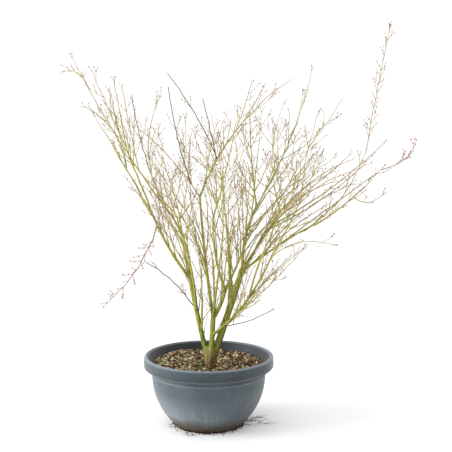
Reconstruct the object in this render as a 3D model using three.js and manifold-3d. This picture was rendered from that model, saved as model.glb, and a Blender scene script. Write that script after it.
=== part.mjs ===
// A bare Japanese maple in bud, grown as several green stems, in a plastic bowl pot filled with bark mulch.
// Millimetres, +Z up. The origin is the middle of the pot's flat underside, and the front faces -Y.
import * as THREE from "three";
import { mergeVertices } from "three/addons/utils/BufferGeometryUtils.js";
import Module from "manifold-3d";

const wasm = await Module();
wasm.setup();

// Gap kept between any two solids that meet, and between two masses of twigs.
const GAP = 0.3;
const MASS_GAP = 0.6;
const UP = new THREE.Vector3(0, 0, 1);

// The bowl pot: a foot, a curved wall with a fine bead, and a thick rolled rim.
const POT = {
  height: 215,
  footRadius: 104,
  bellyRadius: 175,
  bellyHeight: 165,
  bowlPower: 2.35,
  bowlRings: 6,
  insideRings: 4,
  wall: 4,
  rimRadius: 200,
  rimDepth: 38,
  rimRound: 6,
  rimDraft: 1,
  lipRadius: 191.5,
  beadHeight: 160,
  beadProud: 1.8,
  beadHalf: 3.6,
  sides: 40,
};

// The mulch: filled to below the rim, uneven, higher at the back left, flat where the trunk stands.
const MULCH = {
  level: 185,
  tilt: 5,
  bumps: 2.5,
  bumpWidth: 38,
  bumpShift: 1,
  seatRadius: 62,
  rings: 5,
};

// The trunk: short and ribbed, with a root flare, cut flat where it meets the mulch. Its top leans to the
// right and stands higher on the left.
const TRUNK = {
  x: 4,
  y: -38,
  height: 62,
  lean: 3,
  topSlant: -0.25,
  footRadius: 14.5,
  topRadius: 16.5,
  topWidening: 0.28,
  crownRise: 4,
  flare: 0.22,
  flareHeight: 9,
  ribs: 5,
  ribShare: 0.05,
  sides: 20,
  rings: 5,
};

// A limb's foot swells into a collar. Stems, boughs and twigs have fewer sides in that order. A bough's
// solid bends about every step, and a twig's about every leaderStep.
const COLLAR = { share: 0.2, height: 14 };
const LIMB = { stemSides: 10, sides: 7, step: 50 };
const TWIG = { sides: 3, leaderSides: 4, leaderStep: 95, bentLength: 75, tipRadius: 1.1 };

// The growth rule of the twigs: opposite pairs at each node, every pair turned from the last.
const GROWTH = {
  nodeSpacing: 23,
  nodeStep: 6,
  firstNode: 2,
  lastShare: 0.93,
  spread: 38,
  spreadJitter: 16,
  turn: 90,
  turnJitter: 50,
  opposite: 180,
  lift: 0.45,
  sideTaper: 0.5,
  lengthJitter: 0.45,
  childShare: 0.52,
  radiusShare: 0.62,
  greatestRadius: 1.6,
  leastLength: 20,
  levels: 2,
  checkSteps: 6,
  cellMargin: 3.5,
  limbMargin: 3,
  rimMargin: 12,
};

// The whole numbers that mix a shoot's seed into its draws and into its own side shoots' seeds.
const DRAW = {
  perDraw: 0x9e3779b1,
  first: 0x85ebca6b,
  second: 0xc2b2ae35,
  range: 2 ** 32,
  perShoot: 1000003,
  perMass: 100,
};

// A limb's sizes. aim: heading and lean from upright in degrees, then length. bend: arch and swerve of
// its middle. radii: at its foot and its tip. It grows from a point along another limb.
const limb = (name, from, along, aim, bend, radii) => ({ name, from, along, aim, bend, radii });

// The stems rise beside each other out of the trunk, each from its own place inside it.
const stem = (name, inside, aim, bend, radii) => ({ name, inside, aim, bend, radii });

const LIMBS = [
  stem("stem_left", [-4, 2, 20], [-154, 13, 265], [-2, -2], [7, 5.6]),
  stem("stem_centre", [3, -8, 20], [-39, 4, 135], [0, 0], [7.8, 6.6]),
  stem("stem_main", [8, 4, 20], [17, 19, 295], [2, -5], [10.2, 8.6]),
  limb("bough_left_low", "stem_left", 1, [-151, 32, 220], [-8, 1], [4.8, 3]),
  limb("bough_left_high", "stem_left", 1, [152, 20, 205], [15, -7], [4.8, 2.8]),
  limb("bough_centre_left", "stem_centre", 1, [134, 9, 370], [-3, 2], [5, 3.2]),
  limb("bough_centre", "stem_centre", 1, [-33, 26, 100], [-4, 0], [6.2, 4.8]),
  limb("bough_centre_inner", "bough_centre", 1, [-129, 14, 230], [-10, -6], [4.4, 2.6]),
  limb("bough_centre_right", "bough_centre", 1, [3, 23, 185], [-3, 4], [3.8, 2.2]),
  limb("bough_main_up", "stem_main", 1, [34, 15, 195], [7, 11], [5.2, 2.8]),
  limb("bough_right_low", "stem_main", 0.97, [4, 56, 210], [3, -1], [4, 2.2]),
  limb("bough_right_high", "stem_main", 1, [26, 39, 180], [-1, 5], [3.8, 2.2]),
  limb("bough_right_outer", "stem_centre", 0.62, [-32, 41, 265], [-18, -8], [4.6, 2.7]),
  limb("bough_back_left", "stem_left", 0.8, [102, 52, 270], [-23, -3], [4, 2.4]),
  limb("bough_back", "stem_main", 0.55, [92, 45, 320], [-13, -5], [4, 2.3]),
  limb("bough_back_right", "stem_main", 0.85, [65, 58, 280], [-4, 3], [3.6, 2.2]),
  limb("bough_front_left", "stem_left", 0.6, [-97, 40, 285], [6, 3], [4, 2.4]),
  limb("bough_front", "stem_centre", 1, [-83, 42, 300], [3, 0], [3.6, 2.2]),
  limb("bough_front_right", "bough_right_outer", 0.7, [-72, 41, 265], [0, -6], [3, 2.1]),
];

// A main shoot of a mass, with the reach of its side shoots. The first grows on from the bough, the
// others from a point along the first.
const shoot = (along, aim, bend, reach) => ({ along, aim, bend, reach });
const mass = (name, from, along, ...shoots) => ({ name, from, along, shoots });

const MASSES = [
  mass("twigs_left_low", "bough_left_low", 1,
    shoot(0, [-159, 30, 340], [2, 0], 80),
    shoot(0.5, [-150, 34, 205], [26, 4], 50)),
  mass("twigs_left_mid", "bough_left_low", 1,
    shoot(0, [155, 26, 475], [2, -5], 90),
    shoot(0.42, [-165, 20, 135], [17, -8], 60)),
  mass("twigs_left_high", "bough_left_high", 1,
    shoot(0, [162, 34, 565], [-16, -3], 90),
    shoot(0.8, [158, 59, 115], [23, -3], 40)),
  mass("twigs_left_inner", "bough_left_high", 1,
    shoot(0, [-179, 6, 335], [-44, 6], 95),
    shoot(0.22, [127, 27, 315], [-34, -14], 95)),
  mass("twigs_left_droop", "bough_left_low", 0.9, shoot(0, [-158, 145, 265], [-14, 18], 38)),
  mass("twigs_left_slim", "stem_left", 0.6, shoot(0, [-158, 45, 230], [17, -5], 30)),
  mass("twigs_inner_left", "stem_left", 0.34, shoot(0, [-102, 11, 310], [-13, 10], 70)),
  mass("twigs_inner_centre", "stem_centre", 0.8, shoot(0, [98, 19, 280], [-25, -13], 75)),
  mass("twigs_inner_right", "stem_main", 0.66, shoot(0, [-107, 12, 265], [-22, 7], 80)),
  mass("twigs_centre_left", "bough_centre_left", 1,
    shoot(0, [14, 39, 455], [35, 10], 95),
    shoot(0.27, [147, 35, 320], [10, -2], 35),
    shoot(0.26, [-130, 19, 195], [8, -4], 35)),
  mass("twigs_centre_cross", "bough_centre_left", 1,
    shoot(0, [-154, 44, 295], [9, 12], 95),
    shoot(0.16, [-125, 21, 305], [-16, 4], 45)),
  mass("twigs_centre_inner", "bough_centre_inner", 1,
    shoot(0, [-30, 15, 315], [-6, 0], 110),
    shoot(0.36, [-136, 39, 180], [-13, -3], 80)),
  mass("twigs_centre_right", "bough_centre_right", 1,
    shoot(0, [-55, 9, 360], [-1, 1], 110),
    shoot(0.3, [-129, 30, 165], [-24, -4], 80)),
  mass("twigs_main_left", "bough_main_up", 1, shoot(0, [102, 15, 345], [-11, 2], 110)),
  mass("twigs_main_up", "bough_main_up", 1,
    shoot(0, [-8, 22, 440], [-18, 8], 110),
    shoot(0.36, [21, 49, 260], [-25, 13], 80)),
  mass("twigs_right_top", "bough_right_low", 1,
    shoot(0, [4, 39, 325], [-32, -7], 90),
    shoot(0.97, [17, 11, 400], [-2, 7], 45)),
  mass("twigs_right_far", "bough_right_low", 1,
    shoot(0, [-19, 51, 330], [-19, -8], 80),
    shoot(0.95, [-13, 54, 120], [-14, 1], 35),
    shoot(0.62, [-43, 82, 105], [-19, -8], 35)),
  mass("twigs_right_high", "bough_right_high", 1,
    shoot(0, [18, 51, 315], [3, -1], 100),
    shoot(0.35, [62, 27, 300], [-15, 17], 90)),
  mass("twigs_right_outer", "bough_right_outer", 1,
    shoot(0, [-17, 26, 390], [-4, 1], 100),
    shoot(0.4, [-31, 68, 185], [-5, 10], 55),
    shoot(0.16, [-22, 77, 180], [25, -9], 40)),
  mass("twigs_right_slim", "bough_right_outer", 0.35, shoot(0, [-37, 47, 335], [-11, -11], 55)),
  mass("twigs_right_low", "bough_right_outer", 0.2, shoot(0, [-42, 67, 210], [-11, -9], 25)),
  mass("twigs_back_left", "bough_back_left", 1,
    shoot(0, [123, 34, 380], [3, -17], 110),
    shoot(0.3, [69, 17, 280], [-3, -11], 95)),
  mass("twigs_back", "bough_back", 1,
    shoot(0, [104, 30, 410], [-20, -12], 110),
    shoot(0.3, [35, 19, 280], [-11, -22], 95)),
  mass("twigs_back_right", "bough_back_right", 1,
    shoot(0, [43, 39, 415], [-3, 12], 110),
    shoot(0.3, [84, 7, 305], [26, 29], 95)),
  mass("twigs_front_left", "bough_front_left", 1,
    shoot(0, [-119, 35, 310], [-3, 12], 110),
    shoot(0.3, [-62, 18, 240], [2, 11], 90)),
  mass("twigs_front", "bough_front", 1,
    shoot(0, [-89, 31, 345], [-2, 7], 110),
    shoot(0.3, [-143, 14, 235], [3, -20], 90)),
  mass("twigs_front_right", "bough_front_right", 1,
    shoot(0, [-53, 37, 265], [9, -2], 100),
    shoot(0.3, [-162, 4, 220], [-4, -29], 90)),
];

const FINISH = {
  plastic: { color: 0x6f7c87, roughness: 0.55, metalness: 0 },
  mulch: { color: 0x8a6242, roughness: 0.95, metalness: 0 },
  oldBark: { color: 0x8a7350, roughness: 0.85, metalness: 0 },
  greenBark: { color: 0x7d8c33, roughness: 0.6, metalness: 0 },
  twig: { color: 0xa08a5e, roughness: 0.7, metalness: 0 },
};

// Solids

// A closed geometry as a solid that can be joined and cut.
function solidOf(geometry) {
  geometry.deleteAttribute("normal");
  geometry.deleteAttribute("uv");
  const merged = mergeVertices(geometry);
  return new wasm.Manifold(
    new wasm.Mesh({
      numProp: 3,
      vertProperties: merged.attributes.position.array,
      triVerts: new Uint32Array(merged.index.array),
    }),
  );
}

function geometryOf(solid) {
  const mesh = solid.getMesh();
  const geometry = new THREE.BufferGeometry();
  geometry.setAttribute("position", new THREE.BufferAttribute(mesh.vertProperties, mesh.numProp));
  geometry.setIndex(new THREE.BufferAttribute(mesh.triVerts, 1));
  geometry.computeVertexNormals();
  return geometry;
}

// The solid's biggest body, without the scraps that a cut leaves loose.
function mainBody(solid) {
  return solid.decompose().reduce((a, b) => (b.volume() > a.volume() ? b : a));
}

function boxesMeet(a, b) {
  const first = a.boundingBox();
  const second = b.boundingBox();
  return [0, 1, 2].every((i) => first.min[i] <= second.max[i] && second.min[i] <= first.max[i]);
}

// The solid cut clear of each guard that it touches, where a guard is a neighbour made thicker by the gap.
function clearOf(solid, guards) {
  const touching = guards.filter((guard) => boxesMeet(solid, guard));
  return mainBody(touching.reduce((left, guard) => left.subtract(guard), solid));
}

const root = new THREE.Group();
function place(name, geometry, finish) {
  const mesh = new THREE.Mesh(geometry, new THREE.MeshStandardMaterial(finish));
  mesh.name = name;
  root.add(mesh);
}

// Pot and mulch

const onProfile = (radius, height) => new THREE.Vector2(radius, height);

function bowlRadius(height) {
  const share = Math.max(0, 1 - height / POT.bellyHeight);
  return POT.footRadius + (POT.bellyRadius - POT.footRadius) * (1 - share ** POT.bowlPower);
}

// Points on a quarter round, from one angle to the other in degrees.
function quarterRound(centreRadius, centreHeight, size, from, to) {
  return [0, 0.5, 1].map((share) => {
    const angle = THREE.MathUtils.degToRad(from + (to - from) * share);
    return onProfile(centreRadius + size * Math.cos(angle), centreHeight + size * Math.sin(angle));
  });
}

// The inside of the wall from the floor to the lip, as points that stand off it by a clearance.
function insideWall(clearance) {
  const top = POT.height - POT.rimDepth;
  const points = Array.from({ length: POT.insideRings + 1 }, (_, i) => {
    const height = POT.wall + ((top - POT.wall) * i) / POT.insideRings;
    return onProfile(bowlRadius(height) - POT.wall - clearance, height);
  });
  points.push(onProfile(POT.lipRadius - POT.wall - clearance, POT.height - POT.wall));
  return points;
}

function turned(profile) {
  return new THREE.LatheGeometry(profile, POT.sides).rotateX(Math.PI / 2);
}

function potGeometry() {
  const { height, rimRadius, rimDepth, rimRound, rimDraft, wall, beadHeight, beadProud, beadHalf } = POT;
  const outside = Array.from({ length: POT.bowlRings + 1 }, (_, i) => {
    const level = ((beadHeight - beadHalf) * i) / POT.bowlRings;
    return onProfile(bowlRadius(level), level);
  });
  const underRim = height - rimDepth;
  return turned([
    onProfile(0, 0),
    ...outside,
    onProfile(bowlRadius(beadHeight) + beadProud, beadHeight),
    onProfile(bowlRadius(beadHeight + beadHalf), beadHeight + beadHalf),
    onProfile(POT.bellyRadius, underRim),
    ...quarterRound(rimRadius - rimRound, underRim + rimRound, rimRound, -90, 0),
    ...quarterRound(rimRadius - rimRound - rimDraft, height - rimRound, rimRound, 0, 90),
    onProfile(POT.lipRadius, height),
    ...insideWall(0).reverse(),
    onProfile(0, wall),
  ]);
}

// How far the mulch stands above its level: tilted and bumpy, but flat under the trunk.
function mulchRise(x, y) {
  const away = Math.hypot(x - TRUNK.x, y - TRUNK.y) - MULCH.seatRadius;
  const blend = THREE.MathUtils.smoothstep(away, 0, MULCH.seatRadius);
  const along = Math.sin(x / MULCH.bumpWidth + MULCH.bumpShift);
  const across = Math.cos(y / MULCH.bumpWidth - x / POT.lipRadius);
  return blend * ((MULCH.tilt * (y - x)) / POT.rimRadius + MULCH.bumps * along * across);
}

function mulchGeometry() {
  const wall = insideWall(GAP);
  const lip = wall.pop();
  const shoulder = wall.at(-1);
  const fill = shoulder.clone().lerp(lip, (MULCH.level - shoulder.y) / (lip.y - shoulder.y));
  wall[0].y += GAP;
  const edgeRadius = fill.x;
  const top = Array.from({ length: MULCH.rings }, (_, i) =>
    onProfile((edgeRadius * (MULCH.rings - 1 - i)) / MULCH.rings, MULCH.level),
  );
  top.push(onProfile(0, MULCH.level));
  const geometry = turned([onProfile(0, POT.wall + GAP), ...wall, fill, ...top]);
  const position = geometry.attributes.position;
  for (let i = 0; i < position.count; i++) {
    const atTop = position.getZ(i) > MULCH.level - GAP;
    const onEdge = Math.hypot(position.getX(i), position.getY(i)) > edgeRadius - GAP;
    if (atTop && !onEdge) position.setZ(i, MULCH.level + mulchRise(position.getX(i), position.getY(i)));
  }
  return geometry;
}

// Trunk and limbs

const trunkFoot = new THREE.Vector3(TRUNK.x, TRUNK.y, MULCH.level + GAP);

// The trunk, or its guard when pad is the gap.
function trunkSolid(pad) {
  const { height, footRadius, topRadius, sides, rings } = TRUNK;
  const geometry = new THREE.CylinderGeometry(topRadius + pad, footRadius + pad, height, sides, rings);
  geometry.rotateX(Math.PI / 2);
  const position = geometry.attributes.position;
  for (let i = 0; i < position.count; i++) {
    const x = position.getX(i);
    const y = position.getY(i);
    const up = position.getZ(i) + height / 2;
    const share = up / height;
    const rib = TRUNK.ribShare * Math.cos(TRUNK.ribs * Math.atan2(y, x));
    const swell = 1 + TRUNK.flare * Math.exp(-up / TRUNK.flareHeight) + rib;
    const atTopCentre = Math.hypot(x, y) < GAP && up > height / 2;
    const rise = (atTopCentre ? TRUNK.crownRise : 0) + pad * Math.sign(up - height / 2);
    const across = x * swell * (1 + TRUNK.topWidening * share);
    position.setXYZ(i, across + TRUNK.lean * share, y * swell, up + rise + TRUNK.topSlant * across * share);
  }
  return solidOf(geometry.translate(...trunkFoot));
}

// A gently bent line from a start, leaving on a heading and a lean, with its middle arched and swerved.
function lineFrom(start, [heading, lean, length], [arch, swerve]) {
  const turn = THREE.MathUtils.degToRad(heading);
  const tilt = THREE.MathUtils.degToRad(lean);
  const flat = new THREE.Vector3(Math.cos(turn), Math.sin(turn), 0);
  const chord = flat.clone().multiplyScalar(Math.sin(tilt)).addScaledVector(UP, Math.cos(tilt));
  const archway = flat.clone().multiplyScalar(-Math.cos(tilt)).addScaledVector(UP, Math.sin(tilt));
  const side = new THREE.Vector3(-Math.sin(turn), Math.cos(turn), 0);
  const tip = start.clone().addScaledVector(chord, length);
  const control = start.clone().lerp(tip, 0.5);
  control.addScaledVector(archway, 2 * arch).addScaledVector(side, 2 * swerve);
  return new THREE.QuadraticBezierCurve3(start, control, tip);
}

// A tapering solid along a line: an upright cylinder whose rings are moved on to the line. pad makes it
// thicker and longer at both ends, for a guard.
function limbSolid(line, radii, { sides, segments, collar = 0, pad = 0 }) {
  const [foot, tip] = radii;
  const geometry = new THREE.CylinderGeometry(tip + (tip ? pad : 0), foot + pad, 1, sides, segments);
  const { tangents, normals, binormals } = line.computeFrenetFrames(segments);
  const length = line.getLength();
  const position = geometry.attributes.position;
  const moved = new THREE.Vector3();
  for (let i = 0; i < position.count; i++) {
    const row = Math.round((position.getY(i) + 0.5) * segments);
    const share = row / segments;
    const swell = 1 + collar * Math.exp((-share * length) / COLLAR.height);
    const overrun = share === 0 ? -pad : share === 1 ? pad : 0;
    line.getPointAt(share, moved);
    moved.addScaledVector(tangents[row], overrun);
    moved.addScaledVector(binormals[row], position.getX(i) * swell);
    moved.addScaledVector(normals[row], position.getZ(i) * swell);
    position.setXYZ(i, moved.x, moved.y, moved.z);
  }
  return solidOf(geometry);
}

const radiusAt = (radii, share) => radii[0] + (radii[1] - radii[0]) * share;

// Growth

// An even draw from 0 to 1 that depends only on a shoot's seed and the number of the draw.
function chance(seed, draw) {
  let mixed = Math.imul(seed ^ Math.imul(draw + 1, DRAW.perDraw), DRAW.first);
  mixed = Math.imul(mixed ^ (mixed >>> 13), DRAW.second);
  return ((mixed ^ (mixed >>> 16)) >>> 0) / DRAW.range;
}

const jitter = (seed, draw, size) => (chance(seed, draw) - 0.5) * size;

// The nearest that two straight stretches come to each other. Below PARALLEL they run side by side.
const PARALLEL = 1e-9;
function stretchGap(a, b, c, d) {
  const along = b.clone().sub(a);
  const other = d.clone().sub(c);
  const apart = a.clone().sub(c);
  const [aa, bb, ab] = [along.dot(along), other.dot(other), along.dot(other)];
  const [ac, bc] = [along.dot(apart), other.dot(apart)];
  const clamp = (value) => Math.min(1, Math.max(0, value));
  const flat = aa * bb - ab * ab;
  let s = flat > PARALLEL ? clamp((ab * bc - ac * bb) / flat) : 0;
  const t = clamp((ab * s + bc) / bb);
  s = clamp((ab * t - ac) / aa);
  return apart.addScaledVector(along, s).addScaledVector(other, -t).length();
}

function lineGap(point, stretch) {
  let least = Infinity;
  for (let i = 1; i < stretch.length; i++) {
    const line = new THREE.Line3(stretch[i - 1], stretch[i]);
    least = Math.min(least, line.closestPointToPoint(point, true, new THREE.Vector3()).distanceTo(point));
  }
  return least;
}

// The seeded rule: side shoots in opposite pairs at the nodes of a shoot, and more on each of those.
function sideShoots(parent, space, level, grown) {
  const length = parent.line.getLength();
  for (let node = GROWTH.firstNode; node * GROWTH.nodeSpacing < length * GROWTH.lastShare; node++) {
    if (node % GROWTH.nodeStep !== GROWTH.firstNode) continue;
    const share = (node * GROWTH.nodeSpacing) / length;
    for (const side of [0, 1]) {
      const seed = (Math.imul(parent.seed, DRAW.perShoot) + 2 * node + side) >>> 0;
      const child = sideShoot(parent, share, node, side, seed, level);
      if (!child || !fits(child.line, space)) continue;
      grown.push(child);
      if (level < GROWTH.levels) sideShoots(child, space, level + 1, grown);
    }
  }
}

function sideShoot(parent, share, node, side, seed, level) {
  const start = parent.line.getPointAt(share);
  const ahead = parent.line.getTangentAt(share);
  const turn = node * GROWTH.turn + side * GROWTH.opposite + jitter(parent.seed, node, GROWTH.turnJitter);
  const across = new THREE.Vector3().crossVectors(ahead, UP).normalize();
  const outward = across.applyAxisAngle(ahead, THREE.MathUtils.degToRad(turn));
  const spread = THREE.MathUtils.degToRad(GROWTH.spread + jitter(seed, 1, GROWTH.spreadJitter));
  const leave = ahead.clone().multiplyScalar(Math.cos(spread)).addScaledVector(outward, Math.sin(spread));
  const size = 1 - GROWTH.sideTaper * share + jitter(seed, 2, GROWTH.lengthJitter);
  const length = parent.reach * size;
  if (length < GROWTH.leastLength) return null;
  const control = start.clone().addScaledVector(leave, length / 2);
  const rise = leave.clone().addScaledVector(UP, GROWTH.lift).normalize();
  const tip = control.clone().addScaledVector(rise, length / 2);
  const footRadius = Math.min(GROWTH.greatestRadius, radiusAt(parent.radii, share) * GROWTH.radiusShare);
  return {
    line: new THREE.QuadraticBezierCurve3(start, control, tip),
    radii: [footRadius, 0],
    reach: length * GROWTH.childShare,
    seed,
    sides: TWIG.sides,
    segments: length > TWIG.bentLength ? 2 : 1,
  };
}

// Whether a shoot keeps to its mass's own space, off every limb and above the pot.
function fits(line, space) {
  const points = line.getPoints(GROWTH.checkSteps);
  for (let i = 1; i < points.length; i++) {
    if (points[i].z < POT.height + GROWTH.rimMargin) return false;
    const own = Math.min(...space.shoots.map((each) => lineGap(points[i], each.points)));
    const foreign = (each) => lineGap(points[i], each.points) < own + GROWTH.cellMargin;
    if (otherShoots(space).some(foreign)) return false;
    const touches = (each) => each.points.some((point, j) => {
      if (j === 0) return false;
      const room = each.radii[0] + GROWTH.limbMargin;
      return stretchGap(points[i - 1], points[i], each.points[j - 1], point) < room;
    });
    if (Object.values(limbs).some(touches)) return false;
  }
  return true;
}

const otherShoots = (space) => spaces.filter((each) => each !== space).flatMap((each) => each.shoots);

// Limbs are laid out first, because each shoot is tested against all of them.
const limbs = {};
for (const each of LIMBS) {
  const start = each.inside
    ? trunkFoot.clone().add(new THREE.Vector3(...each.inside))
    : limbs[each.from].line.getPoint(each.along);
  const line = lineFrom(start, each.aim, each.bend);
  limbs[each.name] = { line, radii: each.radii, points: line.getPoints(GROWTH.checkSteps) };
}

const spaces = MASSES.map((each, index) => {
  const shoots = [];
  each.shoots.forEach((row, order) => {
    const carrier = order === 0 ? limbs[each.from] : shoots[0];
    const along = order === 0 ? each.along : row.along;
    const start = carrier.line.getPoint(along);
    const footRadius = radiusAt(carrier.radii, along) * (order === 0 && along === 1 ? 1 : GROWTH.radiusShare);
    const line = lineFrom(start, row.aim, row.bend);
    shoots.push({
      line,
      radii: [footRadius, TWIG.tipRadius],
      points: line.getPoints(GROWTH.checkSteps),
      reach: row.reach,
      seed: DRAW.perMass * (index + 1) + order,
      sides: TWIG.leaderSides,
      segments: Math.ceil(line.getLength() / TWIG.leaderStep),
    });
  });
  return { name: each.name, shoots };
});

// The assembly

place("pot", potGeometry(), FINISH.plastic);
place("mulch", mulchGeometry(), FINISH.mulch);
place("trunk", geometryOf(trunkSolid(0)), FINISH.oldBark);

const guards = [trunkSolid(GAP)];
for (const [name, { line, radii }] of Object.entries(limbs)) {
  const shape = {
    sides: name.startsWith("stem") ? LIMB.stemSides : LIMB.sides,
    segments: Math.ceil(line.getLength() / LIMB.step),
    collar: COLLAR.share,
  };
  place(name, geometryOf(clearOf(limbSolid(line, radii, shape), guards)), FINISH.greenBark);
  guards.push(limbSolid(line, radii, { ...shape, pad: GAP }));
}

for (const space of spaces) {
  const grown = [];
  for (const main of space.shoots) sideShoots(main, space, 1, grown);
  const twigs = [...space.shoots, ...grown].map((each) =>
    limbSolid(each.line, each.radii, { sides: each.sides, segments: each.segments }),
  );
  const fused = twigs.reduce((whole, twig) => whole.add(twig));
  place(space.name, geometryOf(clearOf(fused, guards)), FINISH.twig);
  for (const { line, radii, sides, segments } of space.shoots)
    guards.push(limbSolid(line, radii, { sides, segments, pad: MASS_GAP }));
}

export default root;
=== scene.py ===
# %% [markdown]
# # A potted Japanese maple in bud
# A bare young maple stands in a wide plastic bowl of bark mulch. Its green stems carry opposite twigs that end in
# paired red buds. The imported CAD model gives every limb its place, and each cell below dresses one kind of surface.

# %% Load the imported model
import math
import random
from collections import namedtuple
from dataclasses import dataclass, field

import bpy
import numpy as np
from mathutils import Euler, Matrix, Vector
from mathutils.kdtree import KDTree


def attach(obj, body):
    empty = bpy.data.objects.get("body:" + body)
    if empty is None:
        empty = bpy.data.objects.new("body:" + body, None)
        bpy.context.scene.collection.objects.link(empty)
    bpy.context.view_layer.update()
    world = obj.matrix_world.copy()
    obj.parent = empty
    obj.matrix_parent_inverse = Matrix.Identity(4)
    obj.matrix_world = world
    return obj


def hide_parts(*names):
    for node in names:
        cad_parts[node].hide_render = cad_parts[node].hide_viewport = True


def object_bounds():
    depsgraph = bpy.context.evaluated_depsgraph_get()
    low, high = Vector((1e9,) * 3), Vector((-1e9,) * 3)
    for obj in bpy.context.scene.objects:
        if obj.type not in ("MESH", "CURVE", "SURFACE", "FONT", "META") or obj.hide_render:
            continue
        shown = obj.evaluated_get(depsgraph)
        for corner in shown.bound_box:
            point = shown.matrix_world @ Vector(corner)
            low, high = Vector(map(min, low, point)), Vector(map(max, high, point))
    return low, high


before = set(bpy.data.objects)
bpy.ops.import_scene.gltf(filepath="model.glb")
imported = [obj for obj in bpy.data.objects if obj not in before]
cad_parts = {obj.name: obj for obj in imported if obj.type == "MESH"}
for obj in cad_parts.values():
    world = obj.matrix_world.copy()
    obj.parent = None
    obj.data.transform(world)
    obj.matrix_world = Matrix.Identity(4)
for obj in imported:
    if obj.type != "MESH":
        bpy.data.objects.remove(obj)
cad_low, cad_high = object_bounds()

MM = 0.001
print("CAD box in metres:", [round(v, 3) for v in cad_low], [round(v, 3) for v in cad_high])

# %% [markdown]
# ## The camera
# The plant was photographed from a little above its middle through a short telephoto lens. The height and tilt come
# from the ellipse of the pot's rim, and the focal length from the pot's height against its width.

# %% Place the camera
CAMERA_PLACE, CAMERA_DOWN, FOCAL_LENGTH = (0.0533, -2.766, 0.924), math.radians(6.38), 72.9

camera_data = bpy.data.cameras.new("studio_camera")
camera_data.lens = FOCAL_LENGTH
camera_data.sensor_width = 36
camera = bpy.data.objects.new("studio_camera", camera_data)
camera.location = CAMERA_PLACE
camera.rotation_euler = (math.pi / 2 - CAMERA_DOWN, 0, 0)
bpy.context.scene.collection.objects.link(camera)
bpy.context.scene.camera = camera
print("camera distance in metres:", round(-CAMERA_PLACE[1], 2))

# %% [markdown]
# ## The studio's light
# The plant was photographed high-key: a pale floor and wall, bright all round, with a broad soft light from the left
# that brightens the left edges. The standard view shows white as white, and a colour as the paint it is.

# %% Soft studio light
SURROUND_STRENGTH = 1.05
KEY_PLACE, KEY_TARGET, KEY_SIZE, KEY_POWER = Vector((-4.2, -0.8, 1.45)), Vector((0.05, 0, 0.5)), 2.9, 222

bpy.context.scene.view_settings.view_transform = "Standard"
world = bpy.data.worlds.new("bright_studio")
bpy.context.scene.world = world
world.use_nodes = True
world.node_tree.nodes["Background"].inputs["Color"].default_value = (1, 1, 1, 1)
world.node_tree.nodes["Background"].inputs["Strength"].default_value = SURROUND_STRENGTH

key_data = bpy.data.lights.new("key_window", "AREA")
key_data.shape, key_data.size, key_data.energy = "SQUARE", KEY_SIZE, KEY_POWER
key_light = bpy.data.objects.new("key_window", key_data)
key_light.location = KEY_PLACE
key_light.visible_camera = False
key_light.rotation_euler = (KEY_TARGET - KEY_PLACE).to_track_quat("-Z", "Y").to_euler()
bpy.context.scene.collection.objects.link(key_light)
print("world and key light ready")

# %% [markdown]
# ## Materials
# Every finish starts from a Principled shader. One function turns the usual sRGB hex colours into the linear values
# that Blender mixes, and one adds any node with its settings and links. The short ones after it add the nodes that
# every finish needs: noise, colour ramps, fades, mixes and products.

# %% Colour and node helpers
def linear(code):
    """An sRGB hex colour as linear red, green, blue and alpha."""
    parts = [int(code[i:i + 2], 16) / 255 for i in (1, 3, 5)]
    return [c / 12.92 if c <= 0.04045 else ((c + 0.055) / 1.055) ** 2.4 for c in parts] + [1.0]


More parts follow.
